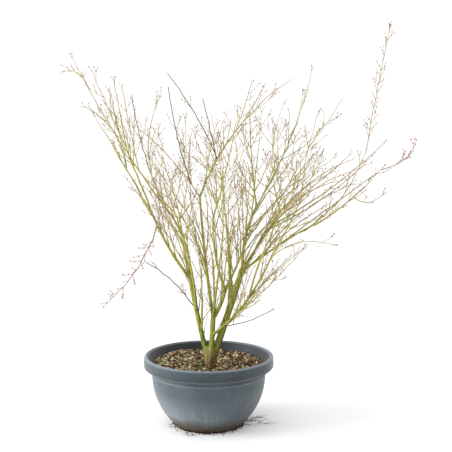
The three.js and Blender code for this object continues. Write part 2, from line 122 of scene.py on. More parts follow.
class Finish:
    """A material with a Principled shader. Patterns are read on the object coordinates, in real millimetres."""

    def __init__(self, name, roughness, ior):
        self.material = bpy.data.materials.new(name)
        self.material.use_nodes = True
        self.tree = self.material.node_tree
        self.shader = self.tree.nodes["Principled BSDF"]
        self.shader.inputs["Roughness"].default_value = roughness
        self.shader.inputs["IOR"].default_value = ior
        self.place = self.add("TexCoord", out="Object")

    def add(self, kind, settings=None, out=0, **links):
        """Adds a node with its settings and its links, and returns one of its outputs.

        A setting is an input's name or number, an attribute, or the stops of a colour ramp.
        """
        node = self.tree.nodes.new("ShaderNode" + kind)
        for key, value in (settings or {}).items():
            if key == "stops":
                elements = node.color_ramp.elements
                while len(elements) < len(value):
                    elements.new(0.5)
                for element, (position, code) in zip(elements, value):
                    element.position, element.color = position, linear(code)
            elif isinstance(key, int) or key in node.inputs:
                node.inputs[key].default_value = value
            else:
                setattr(node, key, value)
        for key, socket in links.items():
            self.tree.links.new(socket, node.inputs[int(key[5:]) if key.startswith("slot_") else key])
        return node.outputs[out]

    def link(self, socket, name):
        self.tree.links.new(socket, self.shader.inputs[name])

    def noise(self, size, detail=2, at=None, **settings):
        """Noise whose lumps are about that many millimetres across."""
        settings.update(Scale=1 / (size * MM), Detail=detail)
        return self.add("TexNoise", settings, Vector=self.place if at is None else at)

    def ramp(self, share, *codes, at=(0.3, 0.7)):
        return self.add("ValToRGB", {"stops": list(zip(at, codes))}, Fac=share)

    def fade(self, value, low, high, start=0, end=1):
        """From start to end while the value goes from low to high."""
        return self.add("MapRange", {"From Min": low, "From Max": high, "To Min": start, "To Max": end}, Value=value)

    def fade_mm(self, value, low, high, start=0, end=1):
        """A fade over a length, with its limits in millimetres."""
        return self.fade(value, low * MM, high * MM, start, end)

    def mix(self, share, below, above):
        return self.add("Mix", {"data_type": "RGBA"}, 2, slot_0=share, slot_6=below, slot_7=above)

    def maths(self, operation, *values):
        """A Math node on outputs and plain numbers."""
        plain = {i: value for i, value in enumerate(values) if isinstance(value, (int, float))}
        links = {f"slot_{i}": value for i, value in enumerate(values) if i not in plain}
        return self.add("Math", {"operation": operation, **plain}, **links)

    def times(self, product, *others):
        for other in others:
            product = self.maths("MULTIPLY", product, other)
        return product

    def stretched(self, *factors):
        """The object coordinates, multiplied."""
        return self.add("VectorMath", {"operation": "MULTIPLY", 1: factors}, slot_0=self.place)

    def level(self):
        return self.add("SeparateXYZ", out="Z", Vector=self.place)

    def kept(self, name):
        """A value that the mesh keeps at each vertex."""
        return self.add("Attribute", {"attribute_name": name}, "Fac")

    def done(self, colour, height, depth, strength=1.0):
        """Links the colour, and a bump of that many millimetres from a height."""
        self.link(colour, "Base Color")
        self.link(self.add("Bump", {"Distance": depth * MM, "Strength": strength}, Height=height), "Normal")
        return self.material


print("material helpers ready")

# %% [markdown]
# ## Modelling helpers
# Round things such as the pot, the soil and the trunk are raised ring by ring: a filled circle is extruded upwards
# and resized at each step, as one would by hand. Everything is deselected first, because an operator acts on all
# that is selected and the CAD nodes arrive selected. Small forms in great numbers are collected in a heap instead.

# %% Ring raising and mesh helpers
UP = np.array((0.0, 0.0, 1.0))


def unit(vector):
    return vector / np.linalg.norm(vector)


def level_way(heading):
    """The level direction at that heading in radians."""
    return np.array((math.cos(heading), math.sin(heading), 0.0))


def start_piece(name, add_primitive, **settings):
    """Adds a primitive with nothing else selected, and names it."""
    bpy.ops.object.select_all(action="DESELECT")
    add_primitive(**settings)
    piece = bpy.context.object
    piece.name = piece.data.name = name
    return piece


def raise_rings(name, profile, sides, close_centre=False):
    """A closed round piece from (radius, height) rings in millimetres, extruded and resized one by one."""
    radius, level = profile[0]
    piece = start_piece(name, bpy.ops.mesh.primitive_circle_add, vertices=sides, radius=radius * MM,
                        fill_type="NGON", location=(0, 0, level * MM))
    bpy.ops.object.mode_set(mode="EDIT")
    bpy.ops.mesh.select_all(action="SELECT")
    for next_radius, next_level in profile[1:]:
        rise = (0, 0, (next_level - level) * MM)
        bpy.ops.mesh.extrude_region_move(TRANSFORM_OT_translate={"value": rise})
        growth = next_radius / radius
        bpy.ops.transform.resize(value=(growth, growth, 1), center_override=(0, 0, 0))
        radius, level = next_radius, next_level
    if close_centre:
        bpy.ops.mesh.merge(type="CENTER")
    bpy.ops.mesh.select_all(action="SELECT")
    bpy.ops.mesh.normals_make_consistent(inside=False)
    bpy.ops.object.mode_set(mode="OBJECT")
    bpy.ops.object.transform_apply(location=True, rotation=True, scale=True)
    return piece


def vertices_of(piece, kind="co"):
    """The piece's vertex places in metres, or its normals, as rows of x, y, z."""
    rows = np.empty(len(piece.data.vertices) * 3)
    piece.data.vertices.foreach_get(kind, rows)
    return rows.reshape(-1, 3)


def move_vertices(piece, places):
    piece.data.vertices.foreach_set("co", places.ravel())
    piece.data.update()


def select_only(piece):
    bpy.ops.object.select_all(action="DESELECT")
    piece.select_set(True)
    bpy.context.view_layer.objects.active = piece


def apply_modifier(piece, kind, **settings):
    """Adds a modifier with its settings and applies it."""
    select_only(piece)
    modifier = piece.modifiers.new(kind.lower(), kind)
    for key, value in settings.items():
        setattr(modifier, key, value)
    bpy.ops.object.modifier_apply(modifier=modifier.name)


def smooth_by_angle(piece, degrees):
    select_only(piece)
    bpy.ops.object.shade_smooth_by_angle(angle=math.radians(degrees))


def dress(piece, slot, *materials):
    """Gives the piece its materials and its body. The slot is not used."""
    for material in materials:
        piece.data.materials.append(material)
    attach(piece, "root")
    piece.data.calc_loop_triangles()
    print(piece.name, "triangles:", len(piece.data.loop_triangles))


class Heap:
    """Collects many small forms in millimetres, and joins them in one mesh."""

    def __init__(self):
        self.places, self.faces, self.shades, self.points, self.count = [], [], [], 0, 0

    def add(self, places, faces, shades=0):
        """One form: its places, its faces as rows of their numbers, and a material number, or one for each face."""
        self.places.append(places)
        self.faces += [[self.points + i for i in face] for face in faces]
        self.shades += shades if isinstance(shades, list) else [shades] * len(faces)
        self.points += len(places)
        self.count += 1

    def build(self, name, smooth=True):
        mesh = bpy.data.meshes.new(name)
        mesh.from_pydata((np.concatenate(self.places) * MM).tolist(), [], self.faces)
        mesh.polygons.foreach_set("material_index", self.shades)
        mesh.polygons.foreach_set("use_smooth", [smooth] * len(mesh.polygons))
        mesh.update()
        piece = bpy.data.objects.new(name, mesh)
        bpy.context.scene.collection.objects.link(piece)
        return piece


print("modelling helpers ready")

# %% [markdown]
# ## The bowl pot
# The real pot is injection-moulded polypropylene, blue-grey and matt, with a curved bowl, a fine bead under a thick
# rolled rim, and a flat foot. It is raised ring by ring from the CAD model's own sizes, with more rings where it
# turns sharply. A moulded pot of this age is never quite round, so the wall gets a slight warp afterwards.

# %% The pot's profile
FOOT_RADIUS, BELLY_RADIUS, BELLY_HEIGHT, BOWL_POWER = 104, 175, 165, 2.35
RIM_RADIUS, RIM_DEPTH, RIM_ROUND, RIM_DRAFT, RIM_UNDER = 200, 38, 6, 1, 9
POT_HEIGHT, LIP_RADIUS, WALL = 215, 191.5, 4
BEAD_HEIGHT, BEAD_PROUD = 160, 1.8
POT_SIDES = 128


def bowl_radius(level):
    share = max(0.0, 1 - level / BELLY_HEIGHT)
    return FOOT_RADIUS + (BELLY_RADIUS - FOOT_RADIUS) * (1 - share ** BOWL_POWER)


def rounded(centre_radius, centre_height, size, start, end, steps):
    """Ring places along an arc, from one angle to another in degrees."""
    angles = [math.radians(start + (end - start) * i / steps) for i in range(steps + 1)]
    return [(centre_radius + size * math.cos(a), centre_height + size * math.sin(a)) for a in angles]


foot_edge = [(FOOT_RADIUS - 2.5, 0), (FOOT_RADIUS - 0.8, 0.6), (bowl_radius(2.4), 2.4)]
bowl_wall = [(bowl_radius(z), z) for z in np.linspace(9, BEAD_HEIGHT - 3.4, 17)]
bead = [(bowl_radius(BEAD_HEIGHT + dz) + proud, BEAD_HEIGHT + dz)
        for dz, proud in ((-2, 0.5), (-0.8, 1.6), (0, BEAD_PROUD), (0.9, 1.5), (2, 0.4), (3.6, 0))]
under_rim = POT_HEIGHT - RIM_DEPTH
rim_below = [(BELLY_RADIUS, under_rim - 4), (BELLY_RADIUS + 0.6, under_rim - 1), (BELLY_RADIUS + 3, under_rim)]
rim_outside = rounded(RIM_RADIUS - RIM_UNDER, under_rim + RIM_UNDER, RIM_UNDER, -90, -4, 8)
rim_top = rounded(RIM_RADIUS - RIM_ROUND - RIM_DRAFT, POT_HEIGHT - RIM_ROUND, RIM_ROUND, 3, 90, 7)
lip = [(LIP_RADIUS + 0.5, POT_HEIGHT), (LIP_RADIUS - 1.6, POT_HEIGHT - 0.9),
       (LIP_RADIUS - WALL + 0.4, POT_HEIGHT - WALL)]
inside = [(176.4, under_rim + 12)] + [(bowl_radius(z) - WALL + (z - 150) * 0.05, z) for z in (under_rim, 165, 150)]
pot_profile = foot_edge + bowl_wall + bead + rim_below + rim_outside + rim_top + lip + inside
print("rings in the pot's profile:", len(pot_profile))

# %% Raise the pot and warp it slightly
TWO_LOBES, THREE_LOBES, RIM_WAVE = 0.0022, 0.0012, 0.7

pot = raise_rings("bowl_pot", pot_profile, POT_SIDES)
places = vertices_of(pot) / MM
angle = np.arctan2(places[:, 1], places[:, 0])
height_share = np.clip(places[:, 2] / POT_HEIGHT, 0, 1)
warp = 1 + height_share * (TWO_LOBES * np.sin(2 * angle + 0.7) + THREE_LOBES * np.sin(3 * angle + 2))
places[:, :2] *= warp[:, None]
places[:, 2] += height_share ** 2 * RIM_WAVE * np.sin(2 * angle + 1.9)
move_vertices(pot, places * MM)
smooth_by_angle(pot, 40)
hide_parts("pot")

# %% [markdown]
# Polypropylene has a soft, waxy sheen. Water and handling leave pale streaks that run down the bowl, so the streak
# noise is read on a direction round the axis and drawn out along the height. The rim's top edge and the bead are
# painted pale, as rubbed wear and as a painted highlight. The lower left of the bowl is painted paler as light
# bounced from the floor, the rim is painted darker as shade, the bowl darkens towards the foot, and splashed soil
# stains the foot brown.

# %% Weathered polypropylene
def weathered_plastic():
    """Waxy and matt to the eye: it has been outdoors for years. Heights and radii are in millimetres."""
    f = Finish("weathered_polypropylene", 0.5, 1.38)
    level = f.level()
    f.link(f.fade_mm(level, 20, 110, 0, 0.3), "Sheen Weight")
    flat = f.stretched(1, 1, 0)
    around = f.add("VectorMath", {"operation": "NORMALIZE"}, slot_0=flat)
    ring = f.add("VectorMath", {"operation": "SCALE", "Scale": 0.17}, slot_0=around)
    polar = f.add("VectorMath", {"operation": "ADD"}, slot_0=ring, slot_1=f.stretched(0, 0, 0.14))

    broad = f.noise(60, 3)
    away = f.add("VectorMath", {"operation": "LENGTH"}, "Value", slot_0=flat)
    # Painted shade: the rim is painted darker than the bowl, darkest on its inner wall and towards its lower edge.
    upper = f.fade_mm(level, 178, 180)
    inner = f.times(f.fade_mm(away, 186.8, 188.8, 1, 0), upper)
    under = f.times(upper, f.fade_mm(level, 178, 210, 0.8, 0))
    plain = f.mix(upper, f.ramp(broad, "#3b454c", "#475359"), f.ramp(broad, "#2d393f", "#38464d"))
    colour = f.mix(f.maths("MAXIMUM", inner, under), plain, f.ramp(broad, "#1c2328", "#242c31"))

    streaks = f.noise(6, 5, polar, Roughness=0.65)
    patches = f.noise(38, 4)
    grime = f.noise(9, 5)
    pale = f.ramp(grime, "#737d86", "#8f979c")
    handled = f.times(f.fade(patches, 0.46, 0.68), f.maths("SUBTRACT", 1, inner), f.fade_mm(level, 180, 125, 0.3, 1))
    colour = f.mix(f.times(f.fade(streaks, 0.48, 0.72, 0, 0.5), handled), colour, pale)
    # The bead and the rim's top edge are painted pale: rubbed wear, and a painted highlight.
    for low, high, paling in ((157.5, 160.5, 0.5), (208.5, 214.5, 0.75)):
        worn_and_highlit = f.times(f.fade_mm(level, low, high, 0, paling), f.fade_mm(level, high, high + 2.5, 1, 0))
        colour = f.mix(worn_and_highlit, colour, pale)

    # Painted light: the lower bowl on the key light's side is painted paler, as light bounced from the floor.
    facing_left_front = f.add("VectorMath", {"operation": "DOT_PRODUCT", 1: (-0.85, -0.53, 0)}, "Value", slot_0=around)
    cloudy = f.fade(streaks, 0.25, 0.7, 0.5, 1)
    bloom = f.times(f.fade(facing_left_front, -0.1, 1, 0, 0.8), f.fade_mm(level, 125, 50), cloudy)
    colour = f.mix(bloom, colour, pale)

    reach = f.fade(patches, 0.35, 0.65, 0.085, 0.024)
    share = f.times(f.maths("DIVIDE", level, reach), f.fade(grime, 0.3, 0.7, 2.6, 0.5))
    # The lowest 50 mm darken towards the foot.
    colour = f.mix(f.fade_mm(level, 8, 50, 1, 0), colour, f.ramp(grime, "#1a1915", "#35342e"))
    soil = f.ramp(f.noise(4, 4), "#231d16", "#4c4130", "#76694f", at=(0.3, 0.5, 0.72))
    colour = f.mix(f.fade(share, 0.1, 1.3, 0.95, 0), colour, soil)
    f.link(f.fade(streaks, 0.3, 0.7, 0.48, 0.68), "Roughness")
    return f.done(colour, f.noise(1.6, 3), 0.08, 0.6)


dress(pot, "pot_plastic", weathered_plastic())

# %% [markdown]
# ## The soil
# Under the bark lies damp compost. Its surface is uneven and a little higher at the back left, as the CAD solid has
# it. Rings are raised inwards over the top, and the inner ones are then lifted by that same rule and by seeded waves.

# %% The soil's own rise
MULCH_LEVEL, MULCH_TILT, MULCH_BUMPS, BUMP_WIDTH, BUMP_SHIFT, SEAT_RADIUS = 185, 5, 2.5, 38, 1, 62
TRUNK_X, TRUNK_Y = 4, -38
SOIL_RADIUS, SOIL_LEVEL, SOIL_RINGS, SOIL_SIDES = 174, 184, 30, 96


def soil_rise(x, y):
    """How far the mulch stands above its level, in millimetres, for arrays of places in millimetres."""
    away = np.clip((np.hypot(x - TRUNK_X, y - TRUNK_Y) - SEAT_RADIUS) / SEAT_RADIUS, 0, 1)
    blend = away * away * (3 - 2 * away)
    bumps = np.sin(x / BUMP_WIDTH + BUMP_SHIFT) * np.cos(y / BUMP_WIDTH - x / LIP_RADIUS)
    return blend * (MULCH_TILT * (y - x) / RIM_RADIUS + MULCH_BUMPS * bumps)


def small_waves(x, y):
    return 0.9 * np.sin(x / 7.3 + 1.2 * np.sin(y / 11)) * np.sin(y / 8.1 + np.sin(x / 13))


def near_trunk(x, y, away):
    return math.hypot(x - TRUNK_X, y - TRUNK_Y) < away


soil_profile = [(SOIL_RADIUS - 9, 152), (SOIL_RADIUS - 4, 172), (SOIL_RADIUS, SOIL_LEVEL - 0.5)]
soil_profile += [(SOIL_RADIUS * (1 - i / SOIL_RINGS), SOIL_LEVEL) for i in range(1, SOIL_RINGS)]
soil = raise_rings("potting_soil", soil_profile, SOIL_SIDES, close_centre=True)
places = vertices_of(soil) / MM
on_top = places[:, 2] > SOIL_LEVEL - 1
lift = soil_rise(places[:, 0], places[:, 1]) + small_waves(places[:, 0], places[:, 1])
places[:, 2] += np.where(on_top, lift, 0)
move_vertices(soil, places * MM)
smooth_by_angle(soil, 60)
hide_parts("mulch")
print("soil surface from", round(places[on_top, 2].min(), 1), "to", round(places[on_top, 2].max(), 1), "mm")

# %% Damp compost
def damp_compost():
    """Nearly black and dull between the chips: it is wet, and the shade of its small hollows is painted into its
    colour.
    """
    f = Finish("damp_compost", 0.92, 1.25)
    crumbs = f.noise(3.2, 6)
    return f.done(f.ramp(crumbs, "#140d09", "#2a1d14", "#513b29", at=(0.3, 0.5, 0.68)), crumbs, 1.6)


dress(soil, "bark_mulch", damp_compost())

# %% [markdown]
# ## Bark chips
# The mulch is graded bark: angular nuggets, flat flakes and splinters from 3 to 15 mm long. Three shapes are modelled
# from primitives with a few dozen faces each, and copied with seeded turns, sizes and colours into one joined mesh.

# %% Model the three chips
def roughed(name, add_primitive, cuts, seed, amount):
    """A primitive with each vertex moved by a seeded amount, as rows of places and its faces."""
    piece = start_piece(name, add_primitive)
    if cuts:
        bpy.ops.object.mode_set(mode="EDIT")
        bpy.ops.mesh.subdivide(number_cuts=cuts)
        bpy.ops.object.mode_set(mode="OBJECT")
    places = vertices_of(piece)
    places += np.random.default_rng(seed).uniform(-amount, amount, places.shape)
    faces = [list(polygon.vertices) for polygon in piece.data.polygons]
    bpy.data.objects.remove(piece, do_unlink=True)
    return places / np.abs(places).max(axis=0), faces


def nugget():
    bpy.ops.mesh.primitive_ico_sphere_add(subdivisions=1, radius=1)


def flake():
    bpy.ops.mesh.primitive_cylinder_add(vertices=7, radius=1, depth=1.6)


def splinter():
    bpy.ops.mesh.primitive_cube_add(size=2)


chip_shapes = [roughed("nugget", nugget, 0, 3, 0.3), roughed("flake", flake, 0, 5, 0.28),
               roughed("splinter", splinter, 1, 9, 0.34)]
CHIP_HALF = [(1, 0.7, 0.5), (1, 0.75, 0.3), (1, 0.34, 0.24)]
print("faces in the chips:", [len(faces) for _, faces in chip_shapes])

# %% Scatter the chips
CHIP_COUNT, CHIP_SEED, CHIP_KINDS = 5400, 11, (0.45, 0.35, 0.2)
LEAST_HALF, MORE_HALF, HALF_POWER = 1.7, 6, 2.8
TRUNK_ROOM = 20
CHIP_PALING = 220  # chips grow paler to the left, over about this many millimetres
CHIP_BANDS = (0.17, 0.37, 0.67, 0.73, 0.91)
CHIP_PITCH, CHIP_ROLL, CHIP_WIDTH, CHIP_THICKNESS, CHIP_LEVEL = 0.3, 0.35, (0.8, 1.15), (0.8, 1.3), (-0.6, 2.6)
FULL_TURN = 6.28


def turn_matrix(heading, pitch, roll):
    """Rotation by roll about X, then pitch about Y, then heading about Z."""
    return np.array(Euler((roll, pitch, heading)).to_matrix())


def band_of(draw, tops):
    """The number of the band that a draw from 0 to 1 falls in."""
    return sum(draw > top for top in tops)


def scatter_chips(dice):
    heap = Heap()
    for _ in range(CHIP_COUNT):
        shape = dice.choices((0, 1, 2), CHIP_KINDS)[0]
        half = LEAST_HALF + MORE_HALF * dice.random() ** HALF_POWER
        away = (SOIL_RADIUS - half * 0.8 - 1) * math.sqrt(dice.random())
        x, y, _ = away * level_way(dice.uniform(0, 2 * math.pi))
        if near_trunk(x, y, TRUNK_ROOM + half * 0.5):
            continue
        places, faces = chip_shapes[shape]
        turn = turn_matrix(dice.uniform(0, FULL_TURN), dice.gauss(0, CHIP_PITCH), dice.gauss(0, CHIP_ROLL))
        thick = dice.uniform(*CHIP_THICKNESS)
        sized = places * np.array(CHIP_HALF[shape]) * (half, half * dice.uniform(*CHIP_WIDTH), half * thick)
        level = MULCH_LEVEL + float(soil_rise(x, y)) + dice.uniform(*CHIP_LEVEL)
        shade = band_of(dice.random() ** (1 + x / CHIP_PALING), CHIP_BANDS)
        heap.add(sized @ turn.T + (x, y, level), faces, shade)
    return heap


chip_heap = scatter_chips(random.Random(CHIP_SEED))
chips = chip_heap.build("bark_chips", smooth=False)
print("chips:", chip_heap.count, "up to", round(max(places[:, 2].max() for places in chip_heap.places), 1), "mm")

# %% [markdown]
# Pine bark is red-brown outside, tan where it has split, and nearly cream where the wood shows. Each chip takes one
# of six base colours, each broken up by fine grain.

# %% Bark chip finishes
def grainy(name, dark, light, grain, roughness=0.85, relief=0.4):
    """A fibrous, dull material between two shades, with grain of that many millimetres."""
    f = Finish(name, roughness, 1.25)
    fibres = f.noise(grain, 4)
    return f.done(f.ramp(fibres, dark, light), fibres, relief)


chip_finishes = [
    grainy("red_brown_bark_chip", "#543a2e", "#846450", 4),
    grainy("tan_bark_chip", "#957a5c", "#c5a680", 4),
    grainy("dark_bark_chip", "#17110d", "#33271e", 4),
    grainy("orange_bark_chip", "#755539", "#9f7d58", 4),
    grainy("olive_bark_chip", "#6b6646", "#99926a", 4),
    grainy("cream_wood_chip", "#c9b994", "#efe6cc", 5),
]
dress(chips, "bark_mulch", *chip_finishes)

# %% [markdown]
# ## Moss and seedling weeds
# A few small green tufts grow in the mulch around the trunk. Each is a rosette of three narrow leaves, every leaf
# four small faces folded along its middle, and all are joined in one piece.

# %% Grow the moss
MOSS_SEED, MOSS_ROOM, MOSS_SPREAD, TUFT_LEVEL = 21, 25, 0.55, (0.5, 3.5)
LEAF_LEAN, LEAF_LENGTH, LEAF_HALF = (0.35, 1.25), (2.6, 6), (0.6, 1.2)
LEAF_MIDDLE, LEAF_DROOP, LEAF_FOLD = 0.55, 0.12, 0.5
MOSS_PATCHES = [(-26, -62, 15, 90), (-34, -22, 13, 70), (46, -26, 10, 45), (-12, 16, 14, 50), (58, 34, 12, 40),
                (-78, 10, 10, 30), (30, -74, 9, 30), (-60, -92, 9, 26), (96, -40, 8, 20)]
LEAF_FACES = [[0, 4, 1], [4, 2, 1], [0, 3, 4], [4, 3, 2]]


def grow_moss(dice):
    heap = Heap()
    tufts = [row[:3] for row in MOSS_PATCHES for _ in range(row[3])]
    for centre_x, centre_y, spread in tufts:
        x, y = dice.gauss(centre_x, spread * MOSS_SPREAD), dice.gauss(centre_y, spread * MOSS_SPREAD)
        if near_trunk(x, y, MOSS_ROOM):
            continue
        foot = np.array((x, y, MULCH_LEVEL + float(soil_rise(x, y)) + dice.uniform(*TUFT_LEVEL)))
        shade = dice.choice((0, 0, 1))
        for _ in range(3):
            heading, lean = dice.uniform(0, FULL_TURN), dice.uniform(*LEAF_LEAN)
            out = level_way(heading) * math.sin(lean) + UP * math.cos(lean)
            length, half = dice.uniform(*LEAF_LENGTH), dice.uniform(*LEAF_HALF)
            side = level_way(heading + math.pi / 2) * half
            middle = foot + out * length * LEAF_MIDDLE
            tip = foot + out * length - UP * LEAF_DROOP * length
            heap.add([foot, middle + side, tip, middle - side, middle - UP * LEAF_FOLD], LEAF_FACES, shade)
    return heap.build("moss_tufts")


dress(grow_moss(random.Random(MOSS_SEED)), "bark_mulch", grainy("cushion_moss", "#5d6230", "#868a4a", 2, 0.8),
      grainy("seedling_leaf", "#6d7538", "#9da058", 3, 0.6))

# %% [markdown]
# ## The limbs
# The maple has three stems that rise side by side out of one short trunk, and boughs that grow from them. The CAD
# source lays every limb on a gently bent line: a heading and a lean from upright in degrees, a length, and how far
# its middle is arched and swerved. The same rows and the same rule are written again here, in millimetres.

# %% The limbs' sizes
TRUNK_FOOT = np.array((TRUNK_X, TRUNK_Y, 185.3))
STEMS = {
    "stem_left": ((-4, 2, 20), (-154, 13, 265), (-2, -2), (7, 5.6)),
    "stem_centre": ((3, -8, 20), (-39, 4, 135), (0, 0), (7.8, 6.6)),
    "stem_main": ((8, 4, 20), (17, 19, 295), (2, -5), (10.2, 8.6)),
}
BOUGHS = {
    "bough_left_low": ("stem_left", 1, (-151, 32, 220), (-8, 1), (4.8, 3)),
    "bough_left_high": ("stem_left", 1, (152, 20, 205), (15, -7), (4.8, 2.8)),
    "bough_centre_left": ("stem_centre", 1, (134, 9, 370), (-3, 2), (5, 3.2)),
    "bough_centre": ("stem_centre", 1, (-33, 26, 100), (-4, 0), (6.2, 4.8)),
    "bough_centre_inner": ("bough_centre", 1, (-129, 14, 230), (-10, -6), (4.4, 2.6)),
    "bough_centre_right": ("bough_centre", 1, (3, 23, 185), (-3, 4), (3.8, 2.2)),
    "bough_main_up": ("stem_main", 1, (34, 15, 195), (7, 11), (5.2, 2.8)),
    "bough_right_low": ("stem_main", 0.97, (4, 56, 210), (3, -1), (4, 2.2)),
    "bough_right_high": ("stem_main", 1, (26, 39, 180), (-1, 5), (3.8, 2.2)),
    "bough_right_outer": ("stem_centre", 0.62, (-32, 41, 265), (-18, -8), (4.6, 2.7)),
    "bough_back_left": ("stem_left", 0.8, (102, 52, 270), (-23, -3), (4, 2.4)),
    "bough_back": ("stem_main", 0.55, (92, 45, 320), (-13, -5), (4, 2.3)),
    "bough_back_right": ("stem_main", 0.85, (65, 58, 280), (-4, 3), (3.6, 2.2)),
    "bough_front_left": ("stem_left", 0.6, (-97, 40, 285), (6, 3), (4, 2.4)),
    "bough_front": ("stem_centre", 1, (-83, 42, 300), (3, 0), (3.6, 2.2)),
    "bough_front_right": ("bough_right_outer", 0.7, (-72, 41, 265), (0, -6), (3, 2.1)),
}
print("limbs:", len(STEMS) + len(BOUGHS))

# %% The line rule
def dot(one, other):
    return (one * other).sum(axis=-1)


def line_from(start, aim, bend):
    """A quadratic Bezier line as its start, control and tip."""
    heading, lean = math.radians(aim[0]), math.radians(aim[1])
    flat, side = level_way(heading), level_way(heading + math.pi / 2)
    chord = flat * math.sin(lean) + UP * math.cos(lean)
    archway = UP * math.sin(lean) - flat * math.cos(lean)
    tip = start + chord * aim[2]
    control = (start + tip) / 2 + archway * 2 * bend[0] + side * 2 * bend[1]
    return np.array((start, control, tip))


def point_at(line, share):
    """A point, or a row of points, on the line at shares of its parameter."""
    t = np.asarray(share, dtype=float)[..., None]
    return (1 - t) ** 2 * line[0] + 2 * t * (1 - t) * line[1] + t * t * line[2]


def tangent_at(line, share):
    t = np.asarray(share, dtype=float)[..., None]
    rate = 2 * (1 - t) * (line[1] - line[0]) + 2 * t * (line[2] - line[1])
    return rate / np.linalg.norm(rate, axis=-1, keepdims=True)


def length_table(line, divisions=200):
    points = point_at(line, np.linspace(0, 1, divisions + 1))
    return np.concatenate(([0], np.cumsum(np.linalg.norm(np.diff(points, axis=0), axis=1))))


def shares_by_length(table, parts):
    """Parameter shares that lie at those shares of the line's length."""
    return np.interp(np.asarray(parts, dtype=float) * table[-1], table, np.linspace(0, 1, len(table)))


limbs = {}
for name, (inside_trunk, aim, bend, radii) in STEMS.items():
    limbs[name] = (line_from(TRUNK_FOOT + inside_trunk, aim, bend), radii)
for name, (carrier, along, aim, bend, radii) in BOUGHS.items():
    limbs[name] = (line_from(point_at(limbs[carrier][0], along), aim, bend), radii)
print("total length of limbs in metres:", round(sum(length_table(line)[-1] for line, _ in limbs.values()) / 1000, 2))

# %% [markdown]
# ## Tubes
# Limbs and twigs are tubes of a few rings. The bends lie in one plane, so the plane's normal and the line's own
# direction give each ring its frame without any twist.

# %% The tube maker
def frames_along(line, shares):
    """The points, and two directions across the line, at each share."""
    ahead = tangent_at(line, shares)
    normal = np.cross(line[1] - line[0], line[2] - line[1])
    if np.linalg.norm(normal) < 1e-6:
        normal = np.cross(line[2] - line[0], (0.3, 1.0, 0.1))
    across = np.broadcast_to(unit(normal), ahead.shape)
    return point_at(line, shares), across, np.cross(ahead, across)


def band_faces(ring_count, sides):
    """Quads between rings that are numbered one after another."""
    rings = [[ring * sides + i for i in (*range(sides), 0)] for ring in range(ring_count)]
    return [[low[i], low[i + 1], high[i + 1], high[i]] for low, high in zip(rings, rings[1:]) for i in range(sides)]


def tube(centres, first, second, radii, sides, turn=0.0):
    """Places and faces of a closed tube with a ring round each centre."""
    angles = turn + np.arange(sides) * 2 * np.pi / sides
    ring = np.cos(angles)[None, :, None] * first[:, None, :] + np.sin(angles)[None, :, None] * second[:, None, :]
    places = (centres[:, None, :] + ring * np.asarray(radii)[:, None, None]).reshape(-1, 3)
    caps = [list(reversed(range(sides))), list(range(len(places) - sides, len(places)))]
    return places, band_faces(len(centres), sides) + caps


print("tube maker ready")

# %% [markdown]
# ## The bark skin
# Trunk, stems and boughs have one skin on the real tree. Here the trunk is raised ring by ring and each limb is a
# tube that starts inside its carrier. A voxel remesh melts them into one surface, smoothing softens the joints, and
# the bark's relief is then pressed into it: ribs and cracks on the old wood, leaf scars and fine lines on the young.

# %% The trunk and limbs before they are melted together
TRUNK_HEIGHT, TRUNK_FOOT_RADIUS, TRUNK_TOP_RADIUS = 62, 14.5, 16.5
FLARE, FLARE_HEIGHT, TOP_WIDENING, CROWN_RISE = 0.22, 9, 0.28, 4
TRUNK_LEAN, TOP_SLANT = 3, -0.25
RIBS, RIB_SHARE, TRUNK_SIDES = 5, 0.05, 40
TRUNK_LEVELS = (0, 2, 5, 9, 14, 20, 27, 34, 41, 48, 55, 62)
COLLAR_SHARE, COLLAR_HEIGHT, LIMB_SIDES, LIMB_STEP = 0.2, 14, 16, 9
PLUMP = {"stem": 1.0, "bough": 0.2}  # millimetres that melting and smoothing take off again


def sort_of(limb_name):
    """stem or bough"""
    return limb_name.split("_")[0]


def trunk_profile():
    """Rings of the trunk in millimetres above its foot."""
    rings = []
    for up in TRUNK_LEVELS:
        radius = TRUNK_FOOT_RADIUS + (TRUNK_TOP_RADIUS - TRUNK_FOOT_RADIUS) * up / TRUNK_HEIGHT
        rings.append((radius * (1 + FLARE * math.exp(-up / FLARE_HEIGHT)), up))
    return rings + [(rings[-1][0] * 0.6, TRUNK_HEIGHT + 2.5), (2, TRUNK_HEIGHT + CROWN_RISE)]


trunk = raise_rings("bark_skin", trunk_profile(), TRUNK_SIDES)
places = vertices_of(trunk) / MM
share = np.clip(places[:, 2] / TRUNK_HEIGHT, 0, 1)
rib = 1 + RIB_SHARE * np.cos(RIBS * np.arctan2(places[:, 1], places[:, 0]))
places[:, 0] *= rib * (1 + TOP_WIDENING * share)
places[:, 1] *= rib
places[:, 2] += TOP_SLANT * places[:, 0] * share
places[:, 0] += TRUNK_LEAN * share
move_vertices(trunk, (places + TRUNK_FOOT) * MM)

limb_tubes, limb_samples = Heap(), []
for name, (line, radii) in limbs.items():
    table = length_table(line)
    parts = np.linspace(0, 1, max(4, round(table[-1] / LIMB_STEP)) + 1)
    centres, first, second = frames_along(line, shares_by_length(table, parts))
    swell = 1 + COLLAR_SHARE * np.exp(-parts * table[-1] / COLLAR_HEIGHT)
    thickness = (radii[0] + (radii[1] - radii[0]) * parts) * swell
    limb_tubes.add(*tube(centres, first, second, thickness + PLUMP[sort_of(name)], LIMB_SIDES))
    limb_samples.append((name, centres, first, second, parts * table[-1], thickness))
tubes = limb_tubes.build("limb_tubes")
select_only(tubes)
trunk.select_set(True)
bpy.context.view_layer.objects.active = trunk
bpy.ops.object.join()
bark = bpy.context.object
print("faces before melting:", len(bark.data.polygons))

